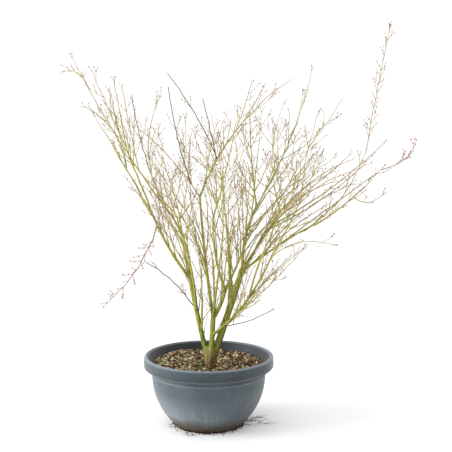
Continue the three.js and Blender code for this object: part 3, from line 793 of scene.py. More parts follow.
# %% Melt them into one skin
apply_modifier(bark, "REMESH", mode="VOXEL", voxel_size=1.5 * MM, adaptivity=0.0)
apply_modifier(bark, "SMOOTH", factor=0.5, iterations=2)
bark.data.calc_loop_triangles()
print("triangles after melting:", len(bark.data.loop_triangles))

# %% Press the bark's relief into the skin
SCAR_SPACING, SCAR_SHIFT, SCAR_WIDTH, SCAR_RISE = {"stem": 46, "bough": 34}, 9, 1.5, 0.11
FOLDS = ((-1.12, 0.32, 1.3), (-2.0, 0.2, 0.25), (0.5, 0.25, 1.0), (1.8, 0.3, 1.2), (2.9, 0.25, 0.9))
FOLD_SHADOW = 0.45
OLD_WOOD_TOP, OLD_WOOD_FADE = 76, 50
SHADE_WAY = (0.85, 0.2, -0.48)
THIN_FROM, THIN_FADE, THIN_CLEARS = 400, 120, 0.75


def bark_relief(piece):
    """Moves each vertex along its normal; keeps scars, age and painted shade (folds, side away from the key light) for
    the finish.
    """
    places, normals = vertices_of(piece) / MM, vertices_of(piece, "normal")
    samples = [(i, k) for i, limb in enumerate(limb_samples) for k in range(len(limb[1]))]
    tree = KDTree(len(samples))
    for index, (i, k) in enumerate(samples):
        tree.insert(limb_samples[i][1][k], index)
    tree.balance()
    which, row = np.array([samples[tree.find(place)[1]] for place in places]).T
    push, scar = np.zeros(len(places)), np.zeros(len(places))
    for i, (name, centres, first, second, run, thickness) in enumerate(limb_samples):
        mine = which == i
        k = row[mine]
        offset = places[mine] - centres[k]
        along = run[k] + dot(offset, np.cross(first[k], second[k]))
        turn = np.arctan2(dot(offset, second[k]), dot(offset, first[k]))
        spacing = SCAR_SPACING[sort_of(name)]
        nearest = (along + SCAR_SHIFT * np.sin(i * 2.1)) / spacing
        ring = np.exp(-((nearest - np.round(nearest)) * spacing / SCAR_WIDTH) ** 2)
        pair = 0.35 + 0.65 * np.cos(turn + np.round(nearest) * np.pi / 2) ** 2
        ridges = np.sin(turn * 5 + along / 37) * 0.018 + np.sin(turn * 9 - along / 53 + i) * 0.010
        swell = 0.03 * np.sin(along / 17 + i) + 0.02 * np.sin(along / 41 + 2 * i)
        push[mine] = thickness[k] * (SCAR_RISE * ring * pair + ridges + swell)
        scar[mine] = ring * pair
    height = places[:, 2] - TRUNK_FOOT[2]
    old = np.clip((OLD_WOOD_TOP - height) / OLD_WOOD_FADE, 0, 1)
    angle = np.arctan2(places[:, 1] - TRUNK_Y, places[:, 0] - TRUNK_X)
    fold = sum(depth * np.exp(-(np.sin((angle - turn) / 2) * 2 / width) ** 2) for turn, width, depth in FOLDS) * old
    cracks = np.sin(angle * 11 + 0.8 * np.sin(height / 9)) * 0.3 + np.sin(angle * 23 + height / 15) * 0.16
    plates = 0.25 * np.sin(height / 3.1 + 3 * np.sin(angle * 4))
    push = push * (1 - old) + old * (cracks + plates) - fold
    move_vertices(piece, (places + normals * push[:, None]) * MM)
    thin = np.clip((places[:, 2] - THIN_FROM) / THIN_FADE, 0, 1)
    # Painted shade: the side facing away from the key light is kept as shade_side and painted darker, less on thin
    # upper limbs.
    shade_side = np.clip(normals @ SHADE_WAY, 0, 1) * (1 - THIN_CLEARS * thin)
    kept = {"scar": scar * (1 - old), "old_wood": old, "fold": FOLD_SHADOW * fold, "shade_side": shade_side}
    for name, values in kept.items():
        piece.data.attributes.new(name, "FLOAT", "POINT").data.foreach_set("value", values)
    return push


pushed = bark_relief(bark)
select_only(bark)
bpy.ops.object.shade_smooth()
bark.name = bark.data.name = "bark_skin"
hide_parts("trunk", *STEMS, *BOUGHS)
print("relief from", round(float(pushed.min()), 2), "to", round(float(pushed.max()), 2), "mm")

# %% [markdown]
# Young maple bark is smooth, waxy and olive green, yellower higher up, with tan leaf scars, and its side away from the
# key light is painted darker as shade. The oldest hand's breadth is corky, grey-tan and reddish at the soil, with
# painted shade in its folds. The colour follows the height and the kept attributes.

# %% Maple bark
def maple_bark():
    """Waxy and slightly glossy on the green wood, dull and corky at the foot."""
    f = Finish("living_maple_bark", 0.5, 1.2)
    level = f.level()
    patches = f.noise(22, 3)
    share = f.fade(f.maths("MULTIPLY_ADD", patches, 0.16, level), 0.28, 0.78)
    green = f.ramp(share, "#7d8438", "#92953e", "#a39f4a", "#ad9f5a", at=(0, 0.3, 0.6, 1))
    dusk = f.ramp(share, "#4e5622", "#606424", "#7c7340", at=(0, 0.5, 1))
    lines = f.noise(4.5, 4, f.stretched(1, 1, 0.1))
    colour = f.mix(f.fade(lines, 0.46, 0.66), green, dusk)
    # Painted shade: the side away from the key light is painted dark olive.
    shaded = f.fade(f.kept("shade_side"), 0.05, 0.7, 0, 0.86)
    colour = f.mix(shaded, colour, f.ramp(share, "#30370c", "#424514", "#5d5228", at=(0, 0.5, 1)))
    scarred = f.fade(f.kept("scar"), 0.2, 1, 0, 0.75)
    colour = f.mix(scarred, colour, f.ramp(patches, "#94713c", "#b89258"))

    cork = f.noise(6, 5, f.stretched(1, 1, 0.6))
    up = f.fade_mm(level, 186, 250)
    pale = f.ramp(up, "#8a6d50", "#97855c", "#a29666", "#afa573", at=(0, 0.3, 0.7, 1))
    deep = f.ramp(up, "#604834", "#70623c", "#7a7242", at=(0, 0.5, 1))
    bark = f.mix(f.fade(cork, 0.42, 0.62), deep, pale)
    # Painted shade: the trunk's folds are painted dark, and so is its side away from the key light.
    bark = f.mix(f.kept("fold"), bark, f.ramp(up, "#3c2c1c", "#4a401c", at=(0, 1)))
    bark = f.mix(f.times(shaded, 0.8), bark, f.ramp(up, "#513a28", "#544824", "#4f4c1c", at=(0, 0.4, 1)))
    old = f.kept("old_wood")
    aged = f.fade(f.maths("MULTIPLY_ADD", patches, 0.9, old), 0.62, 1.15)
    f.link(f.fade(old, 0, 1, 0.42, 0.85), "Roughness")
    return f.done(f.mix(aged, colour, bark), cork, 0.5, 0.5)


dress(bark, "green_bark", maple_bark())

# %% [markdown]
# ## The growth rule
# Each mass of twigs starts as one to three main shoots that follow the real ones. Side shoots leave them in opposite
# pairs, every pair turned a right angle from the last, as maples grow. The draw that gives each shoot its seeded
# differences is the CAD source's own, so the coarse twigs fall in the same places, and finer ones join them here.
# A mass has its carrier, the place on it and a density, and then for each main shoot its place on the first one, its
# aim, its bend, and the reach of its side shoots. The density thins out what this scene adds.

# %% The masses' sizes
MASSES = {
    "left_low": ("bough_left_low", 1, 0.25, (0, (-159, 30, 340), (2, 0), 80), (0.5, (-150, 34, 205), (26, 4), 50)),
    "left_mid": ("bough_left_low", 1, 0.32, (0, (155, 26, 475), (2, -5), 90), (0.42, (-165, 20, 135), (17, -8), 60)),
    "left_high": ("bough_left_high", 1, 0.28, (0, (162, 34, 565), (-16, -3), 90), (0.8, (158, 59, 115), (23, -3), 40)),
    "left_inner": ("bough_left_high", 1, 0.22, (0, (-179, 6, 335), (-44, 6), 95),
                   (0.22, (127, 27, 315), (-34, -14), 95)),
    "left_droop": ("bough_left_low", 0.9, 1, (0, (-158, 145, 265), (-14, 18), 38)),
    "left_slim": ("stem_left", 0.6, 1, (0, (-158, 45, 230), (17, -5), 30)),
    "inner_left": ("stem_left", 0.34, 0.6, (0, (-102, 11, 310), (-13, 10), 70)),
    "inner_centre": ("stem_centre", 0.8, 0.6, (0, (98, 19, 280), (-25, -13), 75)),
    "inner_right": ("stem_main", 0.66, 0.4, (0, (-107, 12, 265), (-22, 7), 80)),
    "centre_left": ("bough_centre_left", 1, 0.4, (0, (14, 39, 455), (35, 10), 95), (0.27, (147, 35, 320), (10, -2), 35),
                    (0.26, (-130, 19, 195), (8, -4), 35)),
    "centre_cross": ("bough_centre_left", 1, 0.3, (0, (-154, 44, 295), (9, 12), 95),
                     (0.16, (-125, 21, 305), (-16, 4), 45)),
    "centre_inner": ("bough_centre_inner", 1, 0.5, (0, (-30, 15, 315), (-6, 0), 110),
                     (0.36, (-136, 39, 180), (-13, -3), 80)),
    "centre_right": ("bough_centre_right", 1, 0.45, (0, (-55, 9, 360), (-1, 1), 110),
                     (0.3, (-129, 30, 165), (-24, -4), 80)),
    "main_left": ("bough_main_up", 1, 0.5, (0, (102, 15, 345), (-11, 2), 110)),
    "main_up": ("bough_main_up", 1, 0.22, (0, (-8, 22, 440), (-18, 8), 110), (0.36, (21, 49, 260), (-25, 13), 80)),
    "right_top": ("bough_right_low", 1, 0.22, (0, (4, 39, 325), (-32, -7), 90), (0.97, (17, 11, 400), (-2, 7), 45)),
    "right_far": ("bough_right_low", 1, 0.5, (0, (-19, 51, 330), (-19, -8), 80), (0.95, (-13, 54, 120), (-14, 1), 35),
                  (0.62, (-43, 82, 105), (-19, -8), 35)),
    "right_high": ("bough_right_high", 1, 0.14, (0, (18, 51, 315), (3, -1), 100), (0.35, (62, 27, 300), (-15, 17), 90)),
    "right_outer": ("bough_right_outer", 1, 0.2, (0, (-17, 26, 390), (-4, 1), 100), (0.4, (-31, 68, 185), (-5, 10), 55),
                    (0.16, (-22, 77, 180), (25, -9), 40)),
    "right_slim": ("bough_right_outer", 0.35, 0.6, (0, (-37, 47, 335), (-11, -11), 55)),
    "right_low": ("bough_right_outer", 0.2, 1, (0, (-42, 67, 210), (-11, -9), 25)),
    "back_left": ("bough_back_left", 1, 0.45, (0, (123, 34, 380), (3, -17), 110), (0.3, (69, 17, 280), (-3, -11), 95)),
    "back": ("bough_back", 1, 0.3, (0, (104, 30, 410), (-20, -12), 110), (0.3, (35, 19, 280), (-11, -22), 95)),
    "back_right": ("bough_back_right", 1, 0.3, (0, (43, 39, 415), (-3, 12), 110), (0.3, (84, 7, 305), (26, 29), 95)),
    "front_left": ("bough_front_left", 1, 0.5, (0, (-119, 35, 310), (-3, 12), 110), (0.3, (-62, 18, 240), (2, 11), 90)),
    "front": ("bough_front", 1, 0.3, (0, (-89, 31, 345), (-2, 7), 110), (0.3, (-143, 14, 235), (3, -20), 90)),
    "front_right": ("bough_front_right", 1, 0.4, (0, (-53, 37, 265), (9, -2), 100),
                    (0.3, (-162, 4, 220), (-4, -29), 90)),
}
print("masses:", len(MASSES), "main shoots:", sum(len(row) - 3 for row in MASSES.values()))

# %% The seeded draw
DRAW_STEP, DRAW_FIRST, DRAW_SECOND, WORD = 0x9E3779B1, 0x85EBCA6B, 0xC2B2AE35, 0xFFFFFFFF
SHOOT_STEP, MASS_STEP = 1000003, 100


def chance(seed, draw):
    """An even draw from 0 to 1 that depends only on a shoot's seed and the draw's number, one for each use."""
    value = ((seed ^ ((draw + 1) * DRAW_STEP & WORD)) * DRAW_FIRST) & WORD
    value = ((value ^ (value >> 13)) * DRAW_SECOND) & WORD
    return (value ^ (value >> 16)) / (WORD + 1)


def jitter(seed, draw, size):
    return (chance(seed, draw) - 0.5) * size


def drawn(seed, draw, least, more):
    return least + more * chance(seed, draw)


def seed_at(seed, node, side):
    return (seed * SHOOT_STEP + 2 * node + side) & WORD


print("first draws of seed 100:", [round(chance(100, n), 4) for n in range(4)])

# %% [markdown]
# A real internode never runs quite straight. Each shoot's line wanders a little at every node, and whatever grows
# there starts from the moved line, so nothing comes loose.

# %% Shoots, and how they wander
NODE_SPACING = 23
WANDER, WANDER_DRAW = (3.6, 2.4, 1.5, 0.8), 60


@dataclass
class Shoot:
    """A line, the radii of its foot and tip, a seed, a length, the reach of its side shoots, an order and a mass.

    Its shift is how far its parent's real line lies from the ruled one where it starts. A free shoot grows from a
    limb or runs far, and only keeps off the leading shoots. Marks are words such as paired, dark, rosy and tan.
    """
    line: np.ndarray
    radii: tuple
    seed: int
    length: float
    reach: float
    level: int
    mass: str
    kind: str
    shift: np.ndarray
    free: bool = False
    marks: set = field(default_factory=set)


def wander(shoot, part):
    """How far the real line lies from the ruled one at a share of its length, in millimetres."""
    position = part * shoot.length / NODE_SPACING
    node = math.floor(position)

    def at(number):
        draws = [jitter(shoot.seed, WANDER_DRAW + 3 * number + axis, WANDER[shoot.level]) for axis in range(3)]
        return np.array(draws) * min(number, 1)

    return shoot.shift + at(node) * (1 - position + node) + at(node + 1) * (position - node)


def radius_at(shoot, part):
    return shoot.radii[0] + (shoot.radii[1] - shoot.radii[0]) * part


print("a leading shoot wanders by up to", WANDER[0] / 2, "mm at a node")

# %% Main shoots, and the room that each mass has
TWIG_TIP, LEAST_FOOT, RADIUS_SHARE, CHECK_STEPS = 0.65, 1.3, 0.62, 6
GRID = np.linspace(0, 1, CHECK_STEPS + 1)


def stretches(lines):
    """Start points and end points of all the straight stretches of some lines."""
    points = [point_at(line, GRID) for line in lines]
    return np.concatenate([p[:-1] for p in points]), np.concatenate([p[1:] for p in points])


masses = {}
for order, (name, (carrier, along, _, *rows)) in enumerate(MASSES.items()):
    masses[name] = shoots = []
    for number, (share, aim, bend, reach) in enumerate(rows):
        parent, parent_radii = (shoots[0].line, shoots[0].radii) if number else limbs[carrier]
        share = share if number else along
        taper = 1 if number == 0 and along == 1 else RADIUS_SHARE
        foot = max(LEAST_FOOT, (parent_radii[0] + (parent_radii[1] - parent_radii[0]) * share) * taper)
        line = line_from(point_at(parent, share), aim, bend)
        shift = wander(shoots[0], share) if number else np.zeros(3)
        shoots.append(Shoot(line, (foot, TWIG_TIP), MASS_STEP * (order + 1) + number, length_table(line)[-1], reach,
                            0, name, "leading", shift))
own_stretches = {name: stretches([s.line for s in shoots]) for name, shoots in masses.items()}
other_stretches = {name: stretches([s.line for other, shoots in masses.items() if other != name for s in shoots])
                   for name in masses}
limb_ends = stretches([line for line, _ in limbs.values()])
limb_room = np.concatenate([np.full(CHECK_STEPS, radii[0]) for _, radii in limbs.values()])
print("limb stretches:", len(limb_room))
print("wander at a leading shoot's middle in mm:", np.round(wander(masses["front"][0], 0.5), 2))

# %% Does a shoot fit?
RIM_MARGIN, CELL_MARGIN, LIMB_MARGIN, FREE_MARGIN, REACH_MARGIN = 12, 3.5, 3, 2.5, 5
REACH_LOW, REACH_HIGH = np.array(cad_low) / MM - REACH_MARGIN, np.array(cad_high) / MM + REACH_MARGIN
FLAT_ENOUGH = 1e-9


def least_distance(points, ends):
    """The least distance of each point to any of the stretches."""
    start, end = ends
    along = end - start
    share = dot(points[:, None, :] - start, along) / dot(along, along)
    nearest = start + np.clip(share, 0, 1)[..., None] * along
    return np.linalg.norm(points[:, None, :] - nearest, axis=2).min(axis=1)


def stretch_gaps(a, b, c, d):
    """The least distance between each stretch a to b and each stretch c to d."""
    along, other = (b - a)[:, None, :], (d - c)[None, :, :]
    apart = a[:, None, :] - c[None, :, :]
    aa, bb, ab, ac, bc = dot(along, along), dot(other, other), dot(along, other), dot(along, apart), dot(other, apart)
    flat = aa * bb - ab * ab
    s = np.where(flat > FLAT_ENOUGH, np.clip((ab * bc - ac * bb) / np.maximum(flat, FLAT_ENOUGH), 0, 1), 0)
    t = np.clip((ab * s + bc) / bb, 0, 1)
    s = np.clip((ab * t - ac) / aa, 0, 1)
    return np.linalg.norm(apart + along * s[..., None] - other * t[..., None], axis=2)


def within_reach(place):
    return (place > REACH_LOW).all() and (place < REACH_HIGH).all()


def fits(shoot, own_limb=None):
    """Whether a shoot is off every other limb and above the pot, and keeps to its mass's own space.

    A free shoot, and its own side shoots, only keep off the leading shoots of the other masses.
    """
    points = point_at(shoot.line, GRID)
    if points[1:, 2].min() < POT_HEIGHT + RIM_MARGIN or not within_reach(points[-1]):
        return False
    others = least_distance(points[1:], other_stretches[shoot.mass])
    if shoot.free and others.min() < FREE_MARGIN:
        return False
    if not shoot.free and (others < least_distance(points[1:], own_stretches[shoot.mass]) + CELL_MARGIN).any():
        return False
    touching = stretch_gaps(points[:-1], points[1:], *limb_ends) < limb_room + LIMB_MARGIN
    if own_limb is not None:
        touching[:, own_limb * CHECK_STEPS:(own_limb + 1) * CHECK_STEPS] = False
    return not touching.any()


print("stretches of one mass's own:", len(own_stretches["front"][0]))

# %% [markdown]
# The source grows a pair at every sixth node only. Here the nodes between them grow too: some as long shoots that run
# beside their parent, more as short shoots and spurs, and a third order of twigs follows. A node that grows nothing
# keeps its buds. Some leaders are marked: the paired ones have a forked twiglet at nearly every node, the dark ones
# are thin and nearly bare beyond their first third, and the rosy and the tan ones differ in colour.

# %% How the side shoots differ
NODE_STEP, FIRST_NODE, LAST_SHARE, FORK_LEVEL, FINEST_LEVEL = 6, 2, 0.93, 2, 3
TURN, TURN_JITTER, SIDE_TAPER, LENGTH_JITTER = 90, 50, 0.5, 0.45
CHILD_SHARE, LONG_CHILD_SHARE, SIDE_TIP = 0.52, 0.3, 0.65
GREATEST_RADIUS, LEAST_RADIUS, FOOT_BASE, FOOT_PER_LENGTH = 1.6, 0.75, 0.7, 0.009
FINE_CHANCE = {1: 0.56, 2: 0.52, 3: 0.36}
LONG_CHANCE, LONG_BEFORE, FORK_CHANCE, TWIGLET_CHANCE, DARK_BARE_FROM = 0.5, 0.6, 0.75, 0.85, 0.3
LEAN_MARGIN = 0.03
# Degrees off the parent, their jitter, the lift of the outer half, the length and what a draw adds, the least length.
# The length is in millimetres for twiglets and forks, and a share of the parent's reach or rest for the others.
SIDE_KINDS = {
    "coarse": (38, 16, 0.45, 1, 0, 20),
    "fine": (38, 16, 0.45, 0.4, 0.7, 9),
    "long": (20, 18, 0.15, 0.4, 0.4, 9),
    "twiglet": (38, 16, 0.45, 10, 12, 9),
    "fork": (22, 16, 0.45, 9, 9, 9),
}
LEADER_MARKS = {
    "paired": [("right_top", 1), ("right_far", 1), ("left_droop", 0), ("left_high", 1)],
    "dark": [("centre_left", 1), ("centre_left", 2), ("centre_cross", 0), ("centre_cross", 1), ("left_inner", 1),
             ("left_slim", 0), ("right_low", 0)],
    "rosy": [("left_droop", 0), ("right_far", 1)],
    "tan": [("right_top", 1), ("centre_cross", 0)],
}
DARK_RADII = (1.65, 1.0)
for mark, leaders in LEADER_MARKS.items():
    for name, number in leaders:
        masses[name][number].marks.add(mark)
        if mark == "dark":
            masses[name][number].radii = DARK_RADII
print("marked leaders:", {mark: len(leaders) for mark, leaders in LEADER_MARKS.items()})

# %% Nodes, and the lines that leave them
Node = namedtuple("Node", "part share number side seed")


def nodes_along(line, seed, first, last_share, divisions=40):
    """The nodes of a line by shares of its length and parameter, two sides each, and the pair at its end."""
    table = length_table(line, divisions)
    end = max(first, math.ceil(table[-1] * last_share / NODE_SPACING))
    nodes = []
    for number in range(first, end):
        part = number * NODE_SPACING / table[-1]
        share = float(shares_by_length(table, part))
        nodes += [Node(part, share, number, side, seed_at(seed, number, side)) for side in (0, 1)]
    return nodes, [Node(1.0, 1.0, end, side, seed_at(seed, end, side)) for side in (0, 1)]


def at_node(line, seed, node):
    """Where the line is at a node, its direction there, and the way that the bud of that side points."""
    ahead = tangent_at(line, node.share)
    turn = math.radians(node.number * TURN + node.side * 180 + jitter(seed, node.number, TURN_JITTER))
    across = np.cross(ahead, UP)
    across = unit(across) if np.linalg.norm(across) > FLAT_ENOUGH else np.array((1.0, 0, 0))
    return point_at(line, node.share), ahead, across * math.cos(turn) + np.cross(ahead, across) * math.sin(turn)


def leaving(ahead, outward, spread):
    """The direction between two others, at an angle in degrees from the first."""
    return ahead * math.cos(math.radians(spread)) + outward * math.sin(math.radians(spread))


def lifted_line(start, leave, lift, length):
    """A line that turns up in its outer half."""
    control = start + leave * length / 2
    return np.array((start, control, control + unit(leave + UP * lift) * length / 2))


leader = masses["front"][0]
print("nodes of a leading shoot:", len(nodes_along(leader.line, leader.seed, FIRST_NODE, LAST_SHARE)[0]) // 2)

# %% Grow the leading shoots' side shoots
def density_of(mass):
    return MASSES[mass][2]


def kind_at(shoot, node):
    """Which kind of side shoot a node grows, if any."""
    level, density = shoot.level, density_of(shoot.mass)
    if level < 2 and node.number % NODE_STEP == FIRST_NODE:
        return "coarse"
    if "paired" in shoot.marks:
        return "twiglet" if chance(node.seed, 4) < TWIGLET_CHANCE else None
    if "dark" in shoot.marks and node.part > DARK_BARE_FROM:
        return None
    if level == 0 and node.part < LONG_BEFORE and chance(node.seed, 5) < LONG_CHANCE * density:
        return "long"
    return "fine" if level < FINEST_LEVEL and chance(node.seed, 4) < FINE_CHANCE[level + 1] * density else None


def side_shoot(shoot, node, kind):
    """The side shoot of that kind, unless it is too short, or long and leaning more than its parent."""
    start, ahead, outward = at_node(shoot.line, shoot.seed, node)
    spread, spread_jitter, lift, least, more, shortest = SIDE_KINDS[kind]
    whole = shoot.reach * (1 - SIDE_TAPER * node.part + jitter(node.seed, 2, LENGTH_JITTER))
    if kind == "long":
        whole = (1 - node.part) * shoot.length
    elif kind in ("twiglet", "fork"):
        whole = 1
    length = whole * drawn(node.seed, 3, least, more)
    leave = leaving(ahead, outward, spread + jitter(node.seed, 1, spread_jitter))
    if length < shortest or kind == "long" and leave[2] < ahead[2] - LEAN_MARGIN:
        return None
    foot = min(GREATEST_RADIUS, max(radius_at(shoot, node.part) * RADIUS_SHARE, LEAST_RADIUS),
               FOOT_BASE + length * FOOT_PER_LENGTH)
    return Shoot(lifted_line(start, leave, lift, length), (foot, SIDE_TIP * foot), node.seed, length,
                 length * (LONG_CHILD_SHARE if kind == "long" else CHILD_SHARE), shoot.level + 1, shoot.mass, kind,
                 wander(shoot, node.part), shoot.free or kind == "long", shoot.marks & {"rosy", "tan"})


def grow(shoot, grown, budded):
    """Side shoots of a shoot, and theirs, into grown; nodes left with buds into budded."""
    nodes, ends = nodes_along(shoot.line, shoot.seed, 1 if shoot.level else FIRST_NODE, LAST_SHARE)
    for node in nodes:
        kind = kind_at(shoot, node)
        child = kind and side_shoot(shoot, node, kind)
        if child and fits(child):
            grown.append(child)
            grow(child, grown, budded)
        else:
            budded.append((shoot, node))
    if shoot.level < FORK_LEVEL and "dark" not in shoot.marks and shoot.kind != "fork":
        for node in ends:
            fork = side_shoot(shoot, node, "fork")
            if chance(node.seed, 9) < FORK_CHANCE and within_reach(fork.line[2]):
                grown.append(fork)


grown, budded = [], []
leading = [shoot for shoots in masses.values() for shoot in shoots]
for shoot in leading:
    grow(shoot, grown, budded)
print("side shoots of the leading shoots:", len(grown))

# %% [markdown]
# The boughs and the upper stems carry long shoots of their own. Seeded ones leave at a narrow angle, and never lean
# more than their limb, because real ones turn up to the light. The arches are placed after the photograph, where the
# real ones curve out and up through the crown, and the thin dark sprouts stand low on the stems. Each row has a place
# on its limb, a heading, a lean, a length, an arch and a swerve, and an arch's row starts with its number.

# %% The limbs' own shoots
LIMB_SEED, LIMB_START, LIMB_LAST_SHARE, LIMB_CHANCE = 70000, {"stem": 0.8, "bough": 0.2}, 0.96, 0.3
LIMB_SPREAD, LIMB_SPREAD_JITTER, LIMB_LIFT, LIMB_LENGTH, LIMB_LENGTH_MORE = 19, 16, 0.4, 90, 190
LIMB_FOOT, LIMB_TIP, PLACED_TIP, WIDER_PER_LENGTH = 1.1, 0.75, 0.7, 0.003
SPROUT_SEED, SPROUT_FOOT, SPROUT_REACH = 90000, 0.9, 18
SPROUTS = [("stem_left", 0.5, 20, 6, 120, 3, 0), ("stem_left", 0.26, -10, 10, 70, 2, 1),
           ("bough_centre", 0.1, 80, 4, 85, -2, 0), ("stem_centre", 0.75, 40, 15, 105, 2, 2),
           ("stem_centre", 0.35, 20, 24, 80, 4, 0), ("stem_main", 0.42, -60, 12, 110, -3, 0),
           ("stem_left", 0.7, -170, 20, 120, 4, 2)]
ARCH_SEED, ARCH_FOOT, ARCH_REACH = 80000, 1.0, 40
ARCHES = {
    "bough_right_high": [(0, 0.42, -13, 51, 395, 36, -3), (2, 0.66, 12, 50, 370, 34, 0), (8, 0.36, -6, 51, 355, 47, -5),
                         (10, 0.72, 18, 50, 295, 26, 8), (41, 0.93, 5, 54, 425, -13, -9),
                         (42, 0.85, -4, 54, 380, -19, 6)],
    "bough_right_low": [(1, 0.51, 10, 55, 425, 2, -6), (9, 0.36, 8, 52, 355, 29, 1), (11, 0.2, 14, 54, 305, 12, -2)],
    "bough_main_up": [(3, 0.21, -91, 10, 285, 0, 12), (12, 0.6, -13, 43, 315, -4, -1), (13, 0.8, 8, 36, 255, 4, 0),
                      (21, 0.29, -103, 8, 250, 1, 2), (25, 0.22, 12, 46, 280, 14, 2), (26, 0.36, -10, 37, 285, 7, 0),
                      (27, 0.48, 22, 48, 215, 6, 1)],
    "bough_centre_right": [(4, 0.52, 51, 8, 265, 9, 8), (22, 0.79, -38, 7, 255, 4, -2), (23, 0.6, 135, 7, 240, 5, -3),
                           (24, 0.45, 159, 11, 220, 9, -2), (38, 0.3, 93, 14, 290, 5, 14)],
    "stem_left": [(5, 0.98, -152, 32, 240, 12, -1), (31, 0.8, -153, 19, 270, 10, -2), (35, 0.97, 65, 9, 275, 11, 15)],
    "bough_left_high": [(6, 0.48, 143, 27, 215, -13, 7), (16, 0.3, -150, 37, 200, 12, 5),
                        (17, 0.6, 140, 23, 200, -10, 5), (30, 0.45, 153, 38, 215, -3, -1)],
    "bough_centre_left": [(7, 0.47, 153, 32, 250, -4, -5), (14, 0.36, -161, 25, 225, 12, 2),
                          (15, 0.45, 154, 28, 240, 16, -3), (18, 0.62, -143, 18, 215, -2, -4),
                          (19, 0.5, 104, 10, 240, 7, -12), (34, 0.3, 133, 14, 335, -8, 13),
                          (36, 0.42, -148, 19, 290, -3, -6)],
    "bough_centre_inner": [(20, 0.55, 158, 23, 200, 9, -4), (32, 0.4, -128, 12, 240, 8, 4),
                           (33, 0.8, 53, 19, 190, -4, -7)],
    "stem_main": [(28, 0.93, -16, 39, 290, 33, -4), (39, 0.8, 30, 37, 200, 7, 0)],
    "bough_left_low": [(29, 0.5, 159, 34, 245, 8, 1)],
    "bough_centre": [(37, 0.7, -50, 13, 345, 13, 2), (40, 0.4, -103, 12, 290, 7, 15)],
    "bough_right_outer": [(43, 0.3, -12, 38, 230, -11, 8), (44, 0.5, 8, 44, 220, 4, -3),
                          (45, 0.15, 4, 35, 235, -25, -4), (46, 0.7, -4, 47, 210, 3, 1)],
}
arches = sorted((number, limb, *row) for limb, rows in ARCHES.items() for number, *row in rows)
print("placed shoots:", len(arches), "arches and", len(SPROUTS), "sprouts")

# %% Grow the shoots of the limbs
mass_on = {carrier: name for name, (carrier, *_) in MASSES.items()}


def from_limb(limb_name, line, seed, length, foot, tip, reach, marks=()):
    radii = (foot + WIDER_PER_LENGTH * length, tip)
    return Shoot(line, radii, seed, length, reach, 1, mass_on.get(limb_name, "inner_centre"), "long", np.zeros(3),
                 True, set(marks))


def limb_shoots():
    """Seeded shoots at the nodes of the boughs and the upper stems."""
    for order, (name, (limb, _)) in enumerate(limbs.items()):
        first = math.ceil(LIMB_START[sort_of(name)] * length_table(limb)[-1] / NODE_SPACING)
        density = density_of(mass_on.get(name, "inner_centre"))
        for node in nodes_along(limb, LIMB_SEED + order, first, LIMB_LAST_SHARE, 200)[0]:
            if chance(node.seed, 0) > LIMB_CHANCE * density:
                continue
            start, ahead, outward = at_node(limb, LIMB_SEED + order, node)
            leave = leaving(ahead, outward, LIMB_SPREAD + jitter(node.seed, 1, LIMB_SPREAD_JITTER))
            length = drawn(node.seed, 2, LIMB_LENGTH, LIMB_LENGTH_MORE)
            shoot = from_limb(name, lifted_line(start, leave, LIMB_LIFT, length), node.seed, length, LIMB_FOOT,
                              LIMB_TIP, LONG_CHILD_SHARE * length)
            if leave[2] >= ahead[2] - LEAN_MARGIN and fits(shoot, own_limb=order):
                yield shoot


def placed_shoots(rows, first_seed, foot, reach, marks=()):
    for number, (name, along, heading, lean, length, arch, swerve) in enumerate(rows):
        line = line_from(point_at(limbs[name][0], along), (heading, lean, length), (arch, swerve))
        yield from_limb(name, line, first_seed + number, length_table(line)[-1], foot, PLACED_TIP, reach, marks)


from_limbs = [*limb_shoots(), *placed_shoots([row[1:] for row in arches], ARCH_SEED, ARCH_FOOT, ARCH_REACH)]
for shoot in from_limbs:
    grow(shoot, grown, budded)
grown += [*from_limbs, *placed_shoots(SPROUTS, SPROUT_SEED, SPROUT_FOOT, SPROUT_REACH, ["dark"])]
print("long shoots from limbs:", len(from_limbs), "from leading shoots:", sum(s.kind == "long" for s in grown))
print("side shoots by order:", [sum(s.level == level for s in grown) for level in (1, 2, 3)])
print("nodes left with buds:", len(budded))

# %% [markdown]
# ## Twig meshes
# Each shoot becomes a tapering tube with a ring at every node, swollen there on the leading shoots. Its colour runs
# from olive at the foot over tan to plum at the tip, in plain base colours that each shoot takes in its turn. Some
# of the finer twigs, the dark leaders and the sprouts are dark all along.

# %% Build the tubes of some shoots
PLUM_TONE, DARK_TONE, TONE_JITTER, DARK_CHANCE = 4, 5, 0.34, 0.16
ROSY_TONE, TAN_TONE, TAN_ROSY_CHANCE = 3, 2, 0.35
FOOT_TONE, TIP_TONE, TWIG_SIDES = (0.0, 0.02, 0.24, 0.44), (0.5, 0.64, 0.8, 0.92), (10, 8, 6, 5)
LEADING_RINGS, SIDE_RINGS = ((-3, 1.0), (0, 1.24), (3, 1.0)), ((0, 1.12),)
FOOT_SWELL, TIP_SWELL, BARE_TIP = 1.12, 0.9, 4


def ring_parts(shoot):
    """Shares of the length that carry a ring, and how much the tube swells there."""
    if shoot.level > 1:
        return [0.0, 0.25, 0.5, 0.75, 1.0], [1.1, 1.0, 1.0, 1.0, 1.0]
    parts, swells = [0.0], [FOOT_SWELL]
    for node in range(1, int(shoot.length / NODE_SPACING) + 1):
        for step, swell in SIDE_RINGS if shoot.level else LEADING_RINGS:
            if node * NODE_SPACING + step < shoot.length - BARE_TIP:
                parts.append((node * NODE_SPACING + step) / shoot.length)
                swells.append(swell)
    return parts + [1.0], swells + [TIP_SWELL]


